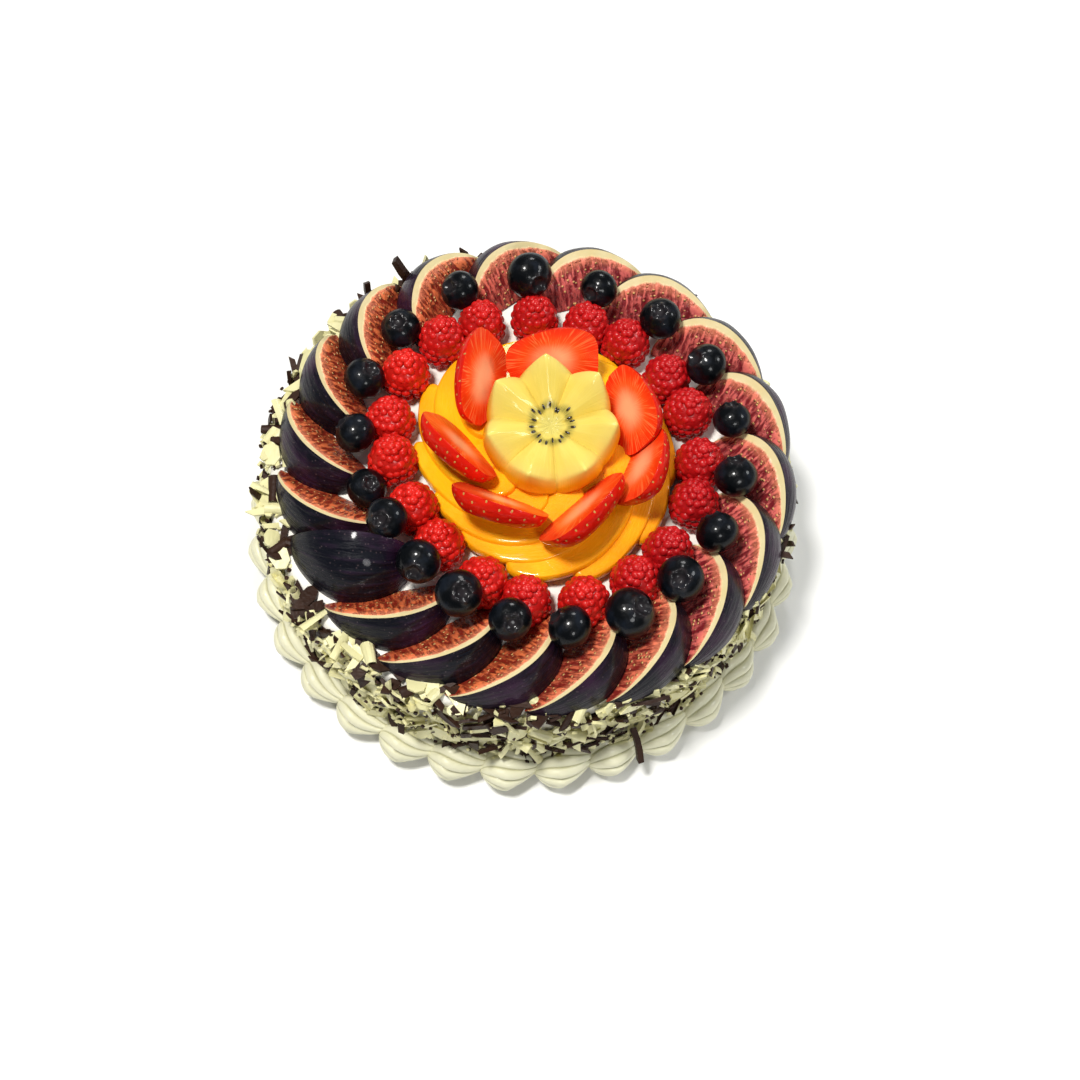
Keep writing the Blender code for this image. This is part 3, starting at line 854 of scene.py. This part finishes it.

# %% [markdown]
# ## Raspberries
#
# A raspberry is a cone of small juicy drupelets, empty inside. Bumps in a material would leave
# its edge smooth, so the drupelets are small spheres, copies of one light mesh, set in staggered
# rows on an egg shape, and smaller ones close its tip. The gaps between the drupelets, and the
# egg that shows through them, are painted dark red as painted shade. The ring is made by the rule
# of the solid model, in the same order and with the same heights.

# %% Raspberry finish
raspberry_skin = Finish(
    "raspberry", 0.4, specular_ior_level=0.2, coat_weight=0.3, coat_roughness=0.14
)
where = raspberry_skin.place()
tone = raspberry_skin.kept("tone")
hollow = raspberry_skin.kept("hollow")
patch = raspberry_skin.noise(where, 200, 2)
scarlet = raspberry_skin.blend(patch, (0.54, 0.005, 0.003), (0.74, 0.018, 0.010))
crimson = raspberry_skin.blend(patch, (0.34, 0.002, 0.005), (0.52, 0.008, 0.012))
ripe = raspberry_skin.blend(tone, scarlet, crimson)
# The gaps between the drupelets are painted a dark red: painted shade.
raspberry_skin.colour(raspberry_skin.blend(hollow * 0.55, ripe, (0.16, 0.001, 0.001)))
raspberry_skin.relief(raspberry_skin.noise(where, 900, 3), 0.0002)
tell(raspberry_skin)

# %% Even places on the ring
RASPBERRY_RING = 64 * MM
RASPBERRY_WIDTH = 19 * MM
RASPBERRY_HEIGHT = 19 * MM
RASPBERRY_PINCH = 1.2
RASPBERRY_GROUPS = (
    (0,), (1, 2), (3, 4), (5, 6), (7, 8), (9,), (10, 11), (12, 13), (14, 15), (16,), (17, 18)
)


def even_bearings(base, first):
    """The bearings at which berries stand equally far apart along an uneven ring."""
    steps = 1440
    turn = 2 * pi / steps
    walked = [0]
    for step in range(steps):
        here = ring_spot(base, first - turn * step)
        walked.append(walked[-1] + (ring_spot(base, first - turn * (step + 1)) - here).length)
    bearings = []
    for number in range(BERRIES):
        target = walked[-1] * number / BERRIES
        bearings.append(first - turn * (sum(1 for length in walked if length <= target) - 1))
    return bearings


bearings = even_bearings(RASPBERRY_RING, radians(91))
print("raspberries stand", [round(bearings[n] - bearings[n + 1], 2) for n in range(3)], "apart")

# %% A raspberry
DRUPELET_ROWS = 8
LOWEST_ROW = -38
ROWS_SPAN = 118


def drupelet_mesh():
    bm = bmesh.new()
    bmesh.ops.create_icosphere(bm, subdivisions=2, radius=1)
    # Each drupelet is painted darker on its inner side, towards the berry's heart: painted shade
    # between the drupelets.
    keep = bm.verts.layers.float.new("hollow")
    for vertex in bm.verts:
        vertex[keep] = clamp(0.45 - vertex.co.z)
    return as_mesh("drupelet", bm)


def raspberry_body(bm, middle, tall, rng, drupelet):
    """Sets rows of drupelets on an egg that stands on the cream."""
    wide = 0.465 * RASPBERRY_WIDTH
    egg = Vector((wide, wide, 0.475 * RASPBERRY_HEIGHT * tall))
    heart = Matrix.Translation(middle + Vector((0, 0, egg.z))) @ Matrix.Diagonal((*egg, 1))
    round_heart = bmesh.new()
    bmesh.ops.create_icosphere(round_heart, subdivisions=3, radius=1)
    # The heart is painted dark all over, as painted shade in the gaps between the drupelets.
    sunk = round_heart.verts.layers.float.new("hollow")
    for vertex in round_heart.verts:
        vertex[sunk] = 0.6
    add_copy(bm, as_mesh("heart", round_heart), heart)
    for row in range(DRUPELET_ROWS):
        rise = row / (DRUPELET_ROWS - 1)
        z = sin(radians(LOWEST_ROW + ROWS_SPAN * rise))
        girth = sqrt(1 - z * z) * (1 - 0.16 * z) * 0.5 * RASPBERRY_WIDTH
        size = (2.0 - 0.35 * rise) * MM
        reach = max(girth - size * 0.75, 0.6 * MM)
        count = max(3, round(2 * pi * reach / (size * 1.55)))
        height = (z + 0.72) / 1.72 * RASPBERRY_HEIGHT * tall
        for step in range(count):
            turn = 2 * pi * (step + 0.5 * (row % 2) + rng.uniform(-0.2, 0.2)) / count
            sway = rng.uniform(-0.3, 0.3) * MM
            point = direction(turn) * (reach + 0.5 * sway) + Vector((0, 0, height + sway))
            facing = Vector((cos(turn) * sqrt(1 - z * z), sin(turn) * sqrt(1 - z * z), z))
            grow = size * rng.uniform(0.82, 1.15)
            aim = facing.to_track_quat("Z", "Y").to_matrix().to_4x4()
            scale = Matrix.Diagonal((grow, grow, grow * 0.95, 1))
            add_copy(bm, drupelet, Matrix.Translation(middle + point) @ aim @ scale)
    top = Matrix.Translation(middle + Vector((0, 0, RASPBERRY_HEIGHT * tall - 1.5 * MM)))
    add_copy(bm, drupelet, top @ Matrix.Diagonal((1.5 * MM, 1.5 * MM, 1.4 * MM, 1)))


print("a drupelet has", len(drupelet_mesh().polygons), "faces")


# %% The ring of raspberries
def raspberry_ring():
    shape_rng = random.Random(11)
    look_rng = random.Random(12)
    drupelet = drupelet_mesh()
    for index, group in enumerate(RASPBERRY_GROUPS):
        whole = bmesh.new()
        for place, number in enumerate(group):
            nudge = radians(RASPBERRY_PINCH) * (len(group) - 1) * (1 - 2 * place)
            middle = ring_spot(RASPBERRY_RING, bearings[number] - nudge)
            middle.z = CAKE_TOP + GAP
            bm = bmesh.new()
            raspberry_body(bm, middle, shape_rng.uniform(0.92, 1.04), look_rng, drupelet)
            deep = 0.5 + 0.5 * cos(2 * pi * (number - 4) / BERRIES) + look_rng.uniform(-0.2, 0.2)
            tone = bm.verts.layers.float.new("tone")
            for vertex in bm.verts:
                vertex[tone] = clamp(deep)
            add_copy(whole, as_mesh("berry", bm))
        node = f"raspberry_{index + 1:02d}"
        finish_piece(f"{node}_fruit", whole, [raspberry_skin], [node], 80)


raspberry_ring()
print("raspberries:", sum(len(group) for group in RASPBERRY_GROUPS))

# %% [markdown]
# ## Blueberries
#
# A blueberry is a slightly flat ball with a dry five-pointed crown round a sunken scar, and a
# thin waxy bloom over nearly black skin. The crown could be a piece of its own, but raised from
# the sphere near its pole it grows out of the skin, and the berry stays one closed mesh.

# %% Blueberry finish
blueberry_skin = Finish(
    "blueberry", 0.3, specular_ior_level=0.1, coat_weight=0.25, coat_roughness=0.08
)
where = blueberry_skin.place()
bloom = blueberry_skin.noise(where, 160, 4)
crown = blueberry_skin.kept("crown")
waxy = blueberry_skin.step(bloom, 0.45, 0.75)
skin = blueberry_skin.blend(waxy, (0.0012, 0.0018, 0.0026), (0.005, 0.008, 0.014))
blueberry_skin.colour(blueberry_skin.blend(crown, skin, (0.022, 0.018, 0.02)))
blueberry_skin.gloss(blueberry_skin.step(bloom, 0.35, 0.75, 0.3, 0.55))
blueberry_skin.relief(blueberry_skin.noise(where, 600, 3), 0.0002)
tell(blueberry_skin)

# %% Blueberry shape
BLUEBERRY_GROW = 1.2
BLUEBERRY_LEAN = 60
CROWN_RADIUS = 0.36
CROWN_STAR = 0.07
CROWN_LIFT = 0.10
SCAR_RADIUS = 0.27
SCAR_DEPTH = 0.17


def blueberry(number, rng):
    node = f"blueberry_{number + 1:02d}"
    low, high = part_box(node)
    size = (high - low).length / sqrt(3) / 2 * BLUEBERRY_GROW
    middle = (low + high) / 2
    bm = bmesh.new()
    bmesh.ops.create_uvsphere(bm, u_segments=50, v_segments=36, radius=1)
    keep = bm.verts.layers.float.new("crown")
    for vertex in bm.verts:
        x, y, z = vertex.co
        out = hypot(x, y)
        star = 0.5 + 0.5 * cos(5 * atan2(y, x))
        rim = exp(-((out - CROWN_RADIUS - CROWN_STAR * star) / 0.07) ** 2) if z > 0 else 0
        pit = exp(-(out / SCAR_RADIUS) ** 4) if z > 0 else 0
        vertex[keep] = min(1, rim * (0.4 + 0.6 * star) + pit * 0.8)
        lift = CROWN_LIFT * rim * (0.35 + 0.65 * star) - SCAR_DEPTH * pit
        vertex.co = Vector((x, y, z * 0.9)) * (1 + 0.015 * noise.noise(vertex.co * 1.7)) * 0.98
        vertex.co.z += lift
    lean = Matrix.Rotation(radians(rng.uniform(-BLUEBERRY_LEAN, BLUEBERRY_LEAN)), 4, "X")
    lean = Matrix.Rotation(radians(rng.uniform(-BLUEBERRY_LEAN, BLUEBERRY_LEAN)), 4, "Y") @ lean
    place = Matrix.Translation(middle) @ lean @ Matrix.Diagonal((size, size, size, 1))
    bmesh.ops.transform(bm, matrix=place, verts=bm.verts)
    return finish_piece(f"{node}_fruit", bm, [blueberry_skin], [node], 80)


rng = random.Random(23)
for number in range(BERRIES):
    blueberry(number, rng)
print("blueberries:", BERRIES)

# %% [markdown]
# ## Mango rosette
#
# Thin slices of ripe mango are laid in a spiral, each leaning on the next, and brushed with
# clear glaze. A flat curve could be extruded, but a sphere that is flattened and bent along the
# spiral keeps a full round edge. The same function makes every slice, further round the heart.

# %% Mango finish
mango = Finish("mango", 0.4, specular_ior_level=0.15, coat_weight=0.55, coat_roughness=0.05)
where = mango.place()
ripe = mango.noise(where, 25, 2)
fibre = mango.noise(mango.kept("run", "Vector"), 30, 3)
tint = mango.blend(mango.step(ripe, 0.35, 0.65), (1.0, 0.35, 0.0), (1.0, 0.49, 0.003))
mango.colour(mango.blend(mango.step(fibre, 0.45, 0.8, 0, 0.35), tint, (1.0, 0.58, 0.02)))
mango.relief(fibre * 0.5 + mango.noise(where, 120, 2), 0.0006)
tell(mango)

# %% Mango slices
MANGO_SLICES = 12
MANGO_OUTER = 51 * MM
MANGO_INNER = 23.5 * MM
MANGO_WIDTH = 19 * MM
MANGO_THICK = 6 * MM
MANGO_SWEEP = 100
MANGO_RISE = 9.0 * MM
MANGO_BASE = 3.2 * MM
MANGO_LEAN = 6
MANGO_CRISP = 2.4
MANGO_END = 0.18
MANGO_STEP = 0.8 * MM


def mango_slice(number, rng):
    bm = bmesh.new()
    bmesh.ops.create_uvsphere(bm, u_segments=48, v_segments=48, radius=1)
    keep = bm.verts.layers.float_vector.new("run")
    start = 2 * pi * number / MANGO_SLICES
    lean = radians(MANGO_LEAN)
    floor = rng.uniform(0, MANGO_STEP)
    lift = rng.uniform(0, MANGO_STEP)
    start += radians(rng.uniform(-2, 2))
    for vertex in bm.verts:
        side, thick, along = vertex.co
        fullness = max(0.01, 1 - along * along) ** -MANGO_END
        side *= fullness
        thick *= fullness
        share = (1 - along) / 2
        vertex[keep] = (0.15 * share + number, side, thick)
        turn = start - radians(MANGO_SWEEP) * share
        ring = MANGO_INNER + (ring_reach(MANGO_OUTER, turn) - MANGO_INNER) * share
        flat = MANGO_THICK / 2 * clamp(thick * MANGO_CRISP, -1, 1)
        wide = MANGO_WIDTH / 2 * side
        out = ring + wide * cos(lean) + flat * sin(lean)
        up = MANGO_RISE * (1 - share) + MANGO_BASE + lift - wide * sin(lean) + flat * cos(lean)
        vertex.co = HEART_MIDDLE.lerp(RING_MIDDLE, share)
        vertex.co += Vector((out * cos(turn), out * sin(turn), CAKE_TOP + GAP + max(up, floor)))
    return bm


def mango_rosette():
    rng = random.Random(8)
    whole = bmesh.new()
    for number in range(MANGO_SLICES):
        add_copy(whole, as_mesh("slice", mango_slice(number, rng)))
    finish_piece("mango_slices", whole, [mango], ["mango_rosette"], 45)


mango_rosette()
print("mango slices:", MANGO_SLICES)

# %% [markdown]
# ## Strawberry slices
#
# Each slice is the outer third of a strawberry, with a flat cut inside and the seeded skin
# outside. Pale threads run from its core to the skin. The skin's seeds lie in small pits. The
# pits are pressed into a fine sphere before it is cut, so that they end cleanly at the knife's
# edge, and every seed is a small piece that can catch the light.

# %% Strawberry skin and seeds
strawberry_skin = Finish(
    "strawberry_skin", 0.4, specular_ior_level=0.1, coat_weight=0.22, coat_roughness=0.07
)
where = strawberry_skin.place()
patch = strawberry_skin.noise(where, 120, 2)
strawberry_skin.colour(
    strawberry_skin.blend(patch, (0.50, 0.003, 0.0015), (0.72, 0.016, 0.003))
)
strawberry_skin.relief(strawberry_skin.noise(where, 500, 3), 0.0003)

seed_coat = Finish("seed", 0.4)
patch = seed_coat.noise(seed_coat.place(), 150, 1)
seed_coat.colour(seed_coat.blend(patch, (0.42, 0.20, 0.04), (0.66, 0.38, 0.09)))
tell(strawberry_skin, seed_coat)

# %% Strawberry flesh
strawberry_flesh = Finish(
    "strawberry_flesh", 0.38, specular_ior_level=0.15, coat_weight=0.3, coat_roughness=0.08
)
kept, (_, girth, _) = inside_place(strawberry_flesh)
where = strawberry_flesh.place()
cloud = strawberry_flesh.noise(where, 90, 2)
rays = strawberry_flesh.noise(strawberry_flesh.stretch(kept, (0, 0.6, 9)), 3, 2)
outer = strawberry_flesh.step(girth, 0.45, 0.95)
red = strawberry_flesh.blend(outer, (0.88, 0.085, 0.010), (0.80, 0.028, 0.003))
threads = strawberry_flesh.step(rays, 0.5, 0.66, 0, 0.5)
red = strawberry_flesh.blend(threads, red, (0.92, 0.30, 0.09))
core = strawberry_flesh.step(girth + cloud * 0.35, 0.30, 0.85, 1, 0)
strawberry_flesh.colour(strawberry_flesh.blend(core * 0.75, red, (0.90, 0.46, 0.24)))
strawberry_flesh.relief(cloud, 0.0004)
tell(strawberry_flesh)

# %% Strawberry form and seed places
# Bearing and distance from the heart, turn, and length of each slice
STRAWBERRIES = (
    (90, 30, 6, 33),
    (141, 34, 28, 36),
    (193, 34, 29, 33),
    (240, 35, 10, 34),
    (291, 34.5, 27, 36),
    (338, 36.5, 4, 30),
    (19, 31, 0, 32),
)
STRAWBERRY_WIDTH = 25 * MM
STRAWBERRY_THICK = 9.5 * MM
STRAWBERRY_LEAN = 56
STRAWBERRY_GROW = 1.08
STRAWBERRY_BACK = 0.82
SEED_ROWS = 10


def strawberry_girth(x):
    """How thick the fruit is along its axis, with a full stalk end and a blunt tip."""
    return (1 - 0.18 * x - 0.08 * x * x) * max(0.01, 1 - x * x) ** -0.24


def strawberry_point(x, y, z, length):
    girth = strawberry_girth(x)
    wide = STRAWBERRY_WIDTH / 2 * girth
    return Vector((x * length / 2, y * wide, z * STRAWBERRY_THICK * min(girth, 1.15)))


def seed_spots(rng):
    """Places on the skin half of a unit sphere, in staggered rows from tip to stalk."""
    spots = []
    for row in range(1, SEED_ROWS + 1):
        x = cos(pi * (row + rng.uniform(-0.1, 0.1)) / (SEED_ROWS + 1))
        girth = sqrt(1 - x * x)
        count = max(3, round(girth * 8))
        for step in range(count):
            turn = pi + pi * (step + 0.25 + 0.5 * (row % 2) + rng.uniform(-0.15, 0.15)) / count
            spots.append(Vector((x, girth * cos(turn), girth * sin(turn))))
    return spots


print("seeds on a strawberry half:", len(seed_spots(random.Random(1))))

# %% Strawberry body, pits and seeds
PIT_WIDTH = 0.055
PIT_DEPTH = 0.035


def strawberry_body(length, spots):
    """The slice with its pits and its cut, lying with the cut face up."""
    bm = bmesh.new()
    bmesh.ops.create_uvsphere(bm, u_segments=96, v_segments=64, radius=1)
    for vertex in bm.verts:
        spot = vertex.co.copy()
        near = min((spot - seed).length for seed in spots)
        spot *= 1 - PIT_DEPTH * exp(-((near / PIT_WIDTH) ** 2))
        vertex.co = strawberry_point(*spot, length)
    slice_off(bm, (0, 0, 0), (0, 0, 1), finish=1)
    slice_off(bm, (0, 0, -STRAWBERRY_BACK * STRAWBERRY_THICK), (0, 0, -1))
    soften_cut(bm)
    keep = bm.verts.layers.float_vector.new("inside")
    faces = [face for face in bm.faces if face.material_index == 1]
    centre = bmesh.ops.poke(bm, faces=[max(faces, key=lambda face: face.calc_area())])
    bmesh.ops.subdivide_edges(
        bm, edges=centre["verts"][0].link_edges[:], cuts=6, use_grid_fill=True
    )
    for vertex in bm.verts:
        x = vertex.co.x / (length / 2)
        y = vertex.co.y / (STRAWBERRY_WIDTH / 2)
        vertex[keep] = (x, min(1, hypot(x, y / strawberry_girth(clamp(x, -1)))), atan2(y, x))
    return bm


def add_strawberry_seeds(bm, length, spots):
    seed = bmesh.new()
    bmesh.ops.create_icosphere(seed, subdivisions=1, radius=1)
    seed_mesh = as_mesh("seed", seed)
    for spot in spots:
        if spot.z > -0.05 or spot.z < -0.8:
            continue
        point = strawberry_point(*(spot * 0.975), length)
        aim = Vector((spot.x / length, spot.y / STRAWBERRY_WIDTH, spot.z / STRAWBERRY_THICK / 2))
        facing = aim.normalized().to_track_quat("Z", "X").to_matrix().to_4x4()
        scale = Matrix.Diagonal((0.75 * MM, 0.45 * MM, 0.35 * MM, 1))
        add_copy(bm, seed_mesh, Matrix.Translation(point) @ facing @ scale, 2)


print("pits are", round(PIT_DEPTH * STRAWBERRY_THICK / MM, 2), "mm deep at the middle")


# %% Strawberry slices
def strawberry_slice(number, sizes, rng):
    bearing, distance, turn, length = sizes
    length = length * STRAWBERRY_GROW * MM
    spots = seed_spots(rng)
    bm = strawberry_body(length, spots)
    add_strawberry_seeds(bm, length, spots)
    angle = radians(bearing)
    heading = Matrix.Rotation(angle + radians(turn) + pi / 2, 4, "Z")
    lean = Matrix.Rotation(-radians(STRAWBERRY_LEAN), 4, "X")
    bmesh.ops.transform(bm, matrix=heading @ lean, verts=bm.verts)
    node = f"strawberry_{number + 1}"
    _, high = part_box(node)
    spot = HEART_MIDDLE + direction(angle) * distance * MM
    top = max(vertex.co.z for vertex in bm.verts)
    spot.z = high.z - top
    bmesh.ops.translate(bm, vec=spot, verts=bm.verts)
    finishes = [strawberry_skin, strawberry_flesh, seed_coat]
    return finish_piece(f"{node}_fruit", bm, finishes, [node], 40)


rng = random.Random(41)
for number, sizes in enumerate(STRAWBERRIES):
    strawberry_slice(number, sizes, rng)
print("strawberry slices:", len(STRAWBERRIES))

# %% [markdown]
# ## Golden kiwi
#
# A peeled golden kiwi is cut in half with a zigzag of knife cuts, so that its halves part like
# two crowns. Each cut leaves two flat facets that meet in a valley. Small black seeds stand in a
# ring round a pale core. Fourteen cutting planes would do it, but one formula on a sphere is
# shorter: the top half becomes the cut, lifted by a zigzag wave that grows towards the rim, and
# the lower half becomes the wall and the round foot.

# %% Kiwi flesh and seed coat
kiwi_flesh = Finish(
    "golden_kiwi", 0.38, specular_ior_level=0.12, coat_weight=0.35, coat_roughness=0.06
)
kept, (out, _, deep) = inside_place(kiwi_flesh)
where = kiwi_flesh.place()
cloud = kiwi_flesh.noise(where, 70, 2)
rays = kiwi_flesh.noise(kiwi_flesh.stretch(kept, (0.4, 14, 0)), 3, 2)
flesh = kiwi_flesh.blend(cloud, (0.70, 0.53, 0.08), (0.78, 0.62, 0.14))
flesh = kiwi_flesh.blend(kiwi_flesh.step(rays, 0.45, 0.75, 0, 0.16), flesh, (0.82, 0.70, 0.24))
flesh = kiwi_flesh.blend(kiwi_flesh.step(out, 0.7, 1.0, 0, 0.35), flesh, (0.80, 0.66, 0.18))
flesh = kiwi_flesh.blend(kiwi_flesh.step(out, 0.14, 0.28, 1, 0), flesh, (0.66, 0.56, 0.14))
dusk = kiwi_flesh.step(out, 0.22, 0.3) * kiwi_flesh.step(out, 0.3, 0.44, 1, 0)
flesh = kiwi_flesh.blend(dusk * kiwi_flesh.step(rays, 0.3, 0.5), flesh, (0.30, 0.25, 0.05))
wall = kiwi_flesh.blend(kiwi_flesh.step(deep, 0.0, 0.22), (0.77, 0.60, 0.11), (0.70, 0.40, 0.004))
kiwi_flesh.colour(kiwi_flesh.blend(kiwi_flesh.step(deep, 0.0, 0.06), flesh, wall))
kiwi_flesh.relief(cloud + rays * 0.4, 0.0004)

kiwi_seed = Finish("kiwi_seed", 0.2, coat_weight=0.4)
patch = kiwi_seed.noise(kiwi_seed.place(), 300, 1)
kiwi_seed.colour(kiwi_seed.blend(patch, (0.010, 0.006, 0.004), (0.03, 0.018, 0.01)))
tell(kiwi_flesh, kiwi_seed)

# %% The zigzag cut
KIWI_RADIUS = 24.4 * MM
KIWI_SWELL = 1.9 * MM
KIWI_CORE = 0.14
KIWI_DEPTH = 24.5 * MM
KIWI_POINTS = 7
KIWI_TIP = 13.5 * MM
KIWI_VALLEY = 2.2 * MM
KIWI_VALLEY_RADIUS = 21.5 * MM
KIWI_DROOP = 1.3 * MM
KIWI_FACET_SWELL = 0.9 * MM
KIWI_TURN = 96.5
KIWI_TILT = 10


def tip_share(turn):
    """1 at a tip and 0 in a valley, along the straight edges of the knife's cuts."""
    share = (turn * KIWI_POINTS / (2 * pi)) % 1
    near = min(share, 1 - share) * 2 * pi / KIWI_POINTS
    half = pi / KIWI_POINTS
    bend = sin(near) / (sin(near) + sin(half - near) * KIWI_RADIUS / KIWI_VALLEY_RADIUS)
    return 1 - bend


def cut_height(turn, out):
    """How high the cut face of the crown lies at a bearing and a share of the way out."""
    tip = tip_share(turn)
    rim = KIWI_VALLEY + (KIWI_TIP - KIWI_VALLEY) * (tip - 0.05 * tip ** 6)
    reach = KIWI_VALLEY_RADIUS + (KIWI_RADIUS - KIWI_VALLEY_RADIUS) * tip
    swell = KIWI_FACET_SWELL * sin(pi * out) * (1 - abs(2 * tip - 1))
    slope = max(0, out - KIWI_CORE) / (1 - KIWI_CORE)
    droop = KIWI_DROOP * max(0, (out - 0.8) / 0.2) ** 2
    return rim * slope + swell - droop, rim - droop, reach


print("tips rise", round((cut_height(0, 1)[0] - cut_height(pi / 7, 1)[0]) / MM, 1), "mm")

# %% Kiwi seeds
KIWI_SEEDS = 20


def kiwi_place():
    spin = Matrix.Rotation(radians(KIWI_TURN), 4, "Z")
    tilt = Matrix.Rotation(radians(KIWI_TILT), 4, "X")
    low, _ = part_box("kiwi")
    foot = Vector((HEART_MIDDLE.x, HEART_MIDDLE.y, low.z + KIWI_DEPTH))
    return Matrix.Translation(foot) @ tilt @ spin


def kiwi_seeds():
    rng = random.Random(3)
    seed = bmesh.new()
    bmesh.ops.create_icosphere(seed, subdivisions=2, radius=1)
    seed_mesh = as_mesh("kiwi_seed", seed)
    whole = bmesh.new()
    for number in range(KIWI_SEEDS):
        turn = 2 * pi * (number + rng.uniform(-0.3, 0.3)) / KIWI_SEEDS
        share = rng.uniform(0.27, 0.36)
        height, _, reach = cut_height(turn, share)
        point = direction(turn) * reach * share + Vector((0, 0, height + 0.1 * MM))
        slope = Matrix.Rotation(-atan2(height, reach * share), 4, "Y")
        scale = Matrix.Diagonal((1.15 * MM, 0.5 * MM, 0.35 * MM, 1))
        spot = Matrix.Translation(point) @ Matrix.Rotation(turn, 4, "Z") @ slope @ scale
        add_copy(whole, seed_mesh, kiwi_place() @ spot)
    finish_piece("kiwi_seeds", whole, [kiwi_seed], ["kiwi"], 80)


kiwi_seeds()
print("kiwi seeds:", KIWI_SEEDS)


# %% Kiwi half
def angle_share(z):
    """How far round from the top of a unit sphere a height lies, from 0 to 1."""
    return atan2(sqrt(max(0, 1 - z * z)), z) / pi


def kiwi_point(spot):
    """Where a point of a unit sphere goes: the top half is the cut, the lower half the wall."""
    turn = atan2(spot.y, spot.x)
    share = 2 * angle_share(spot.z)
    if share <= 1 + 1e-6:
        height, _, reach = cut_height(turn, min(share, 1))
        return direction(turn) * reach * share + Vector((0, 0, height)), share, 0
    fall = share - 1
    _, rim, reach = cut_height(turn, 1)
    height = rim * (1 - fall) - KIWI_DEPTH * fall
    out = reach + (KIWI_RADIUS - reach) * min(1, 2 * fall)
    out *= sqrt(max(0, 1 - (min(height, 0) / KIWI_DEPTH) ** 2))
    out += KIWI_SWELL * sin(pi * min(1, 1.25 * fall)) ** 0.7 * min(1, out / reach)
    return Vector((out * cos(turn), out * sin(turn), height)), 1, fall


def kiwi_half():
    bm = bmesh.new()
    bmesh.ops.create_uvsphere(bm, u_segments=24 * KIWI_POINTS, v_segments=60, radius=1)
    keep = bm.verts.layers.float_vector.new("inside")
    for vertex in bm.verts:
        spot, out, deep = kiwi_point(vertex.co.copy())
        vertex[keep] = (out, atan2(vertex.co.y, vertex.co.x), deep)
        vertex.co = spot
    bmesh.ops.transform(bm, matrix=kiwi_place(), verts=bm.verts)
    finish_piece("kiwi_crown", bm, [kiwi_flesh], ["kiwi"], 75)


kiwi_half()
print("kiwi points:", KIWI_POINTS)

# %% [markdown]
# ## Last step
#
# The box of the dressed cake is kept beside that of the solids, because dressing must not change
# the object's size.

# %% Keep the sizes and finish
full_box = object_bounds()
sizes = {
    "cad": [[round(v, 6) for v in corner] for corner in cad_box],
    "visual": [[round(v, 6) for v in corner] for corner in full_box],
}
print("visual box:", sizes["visual"])
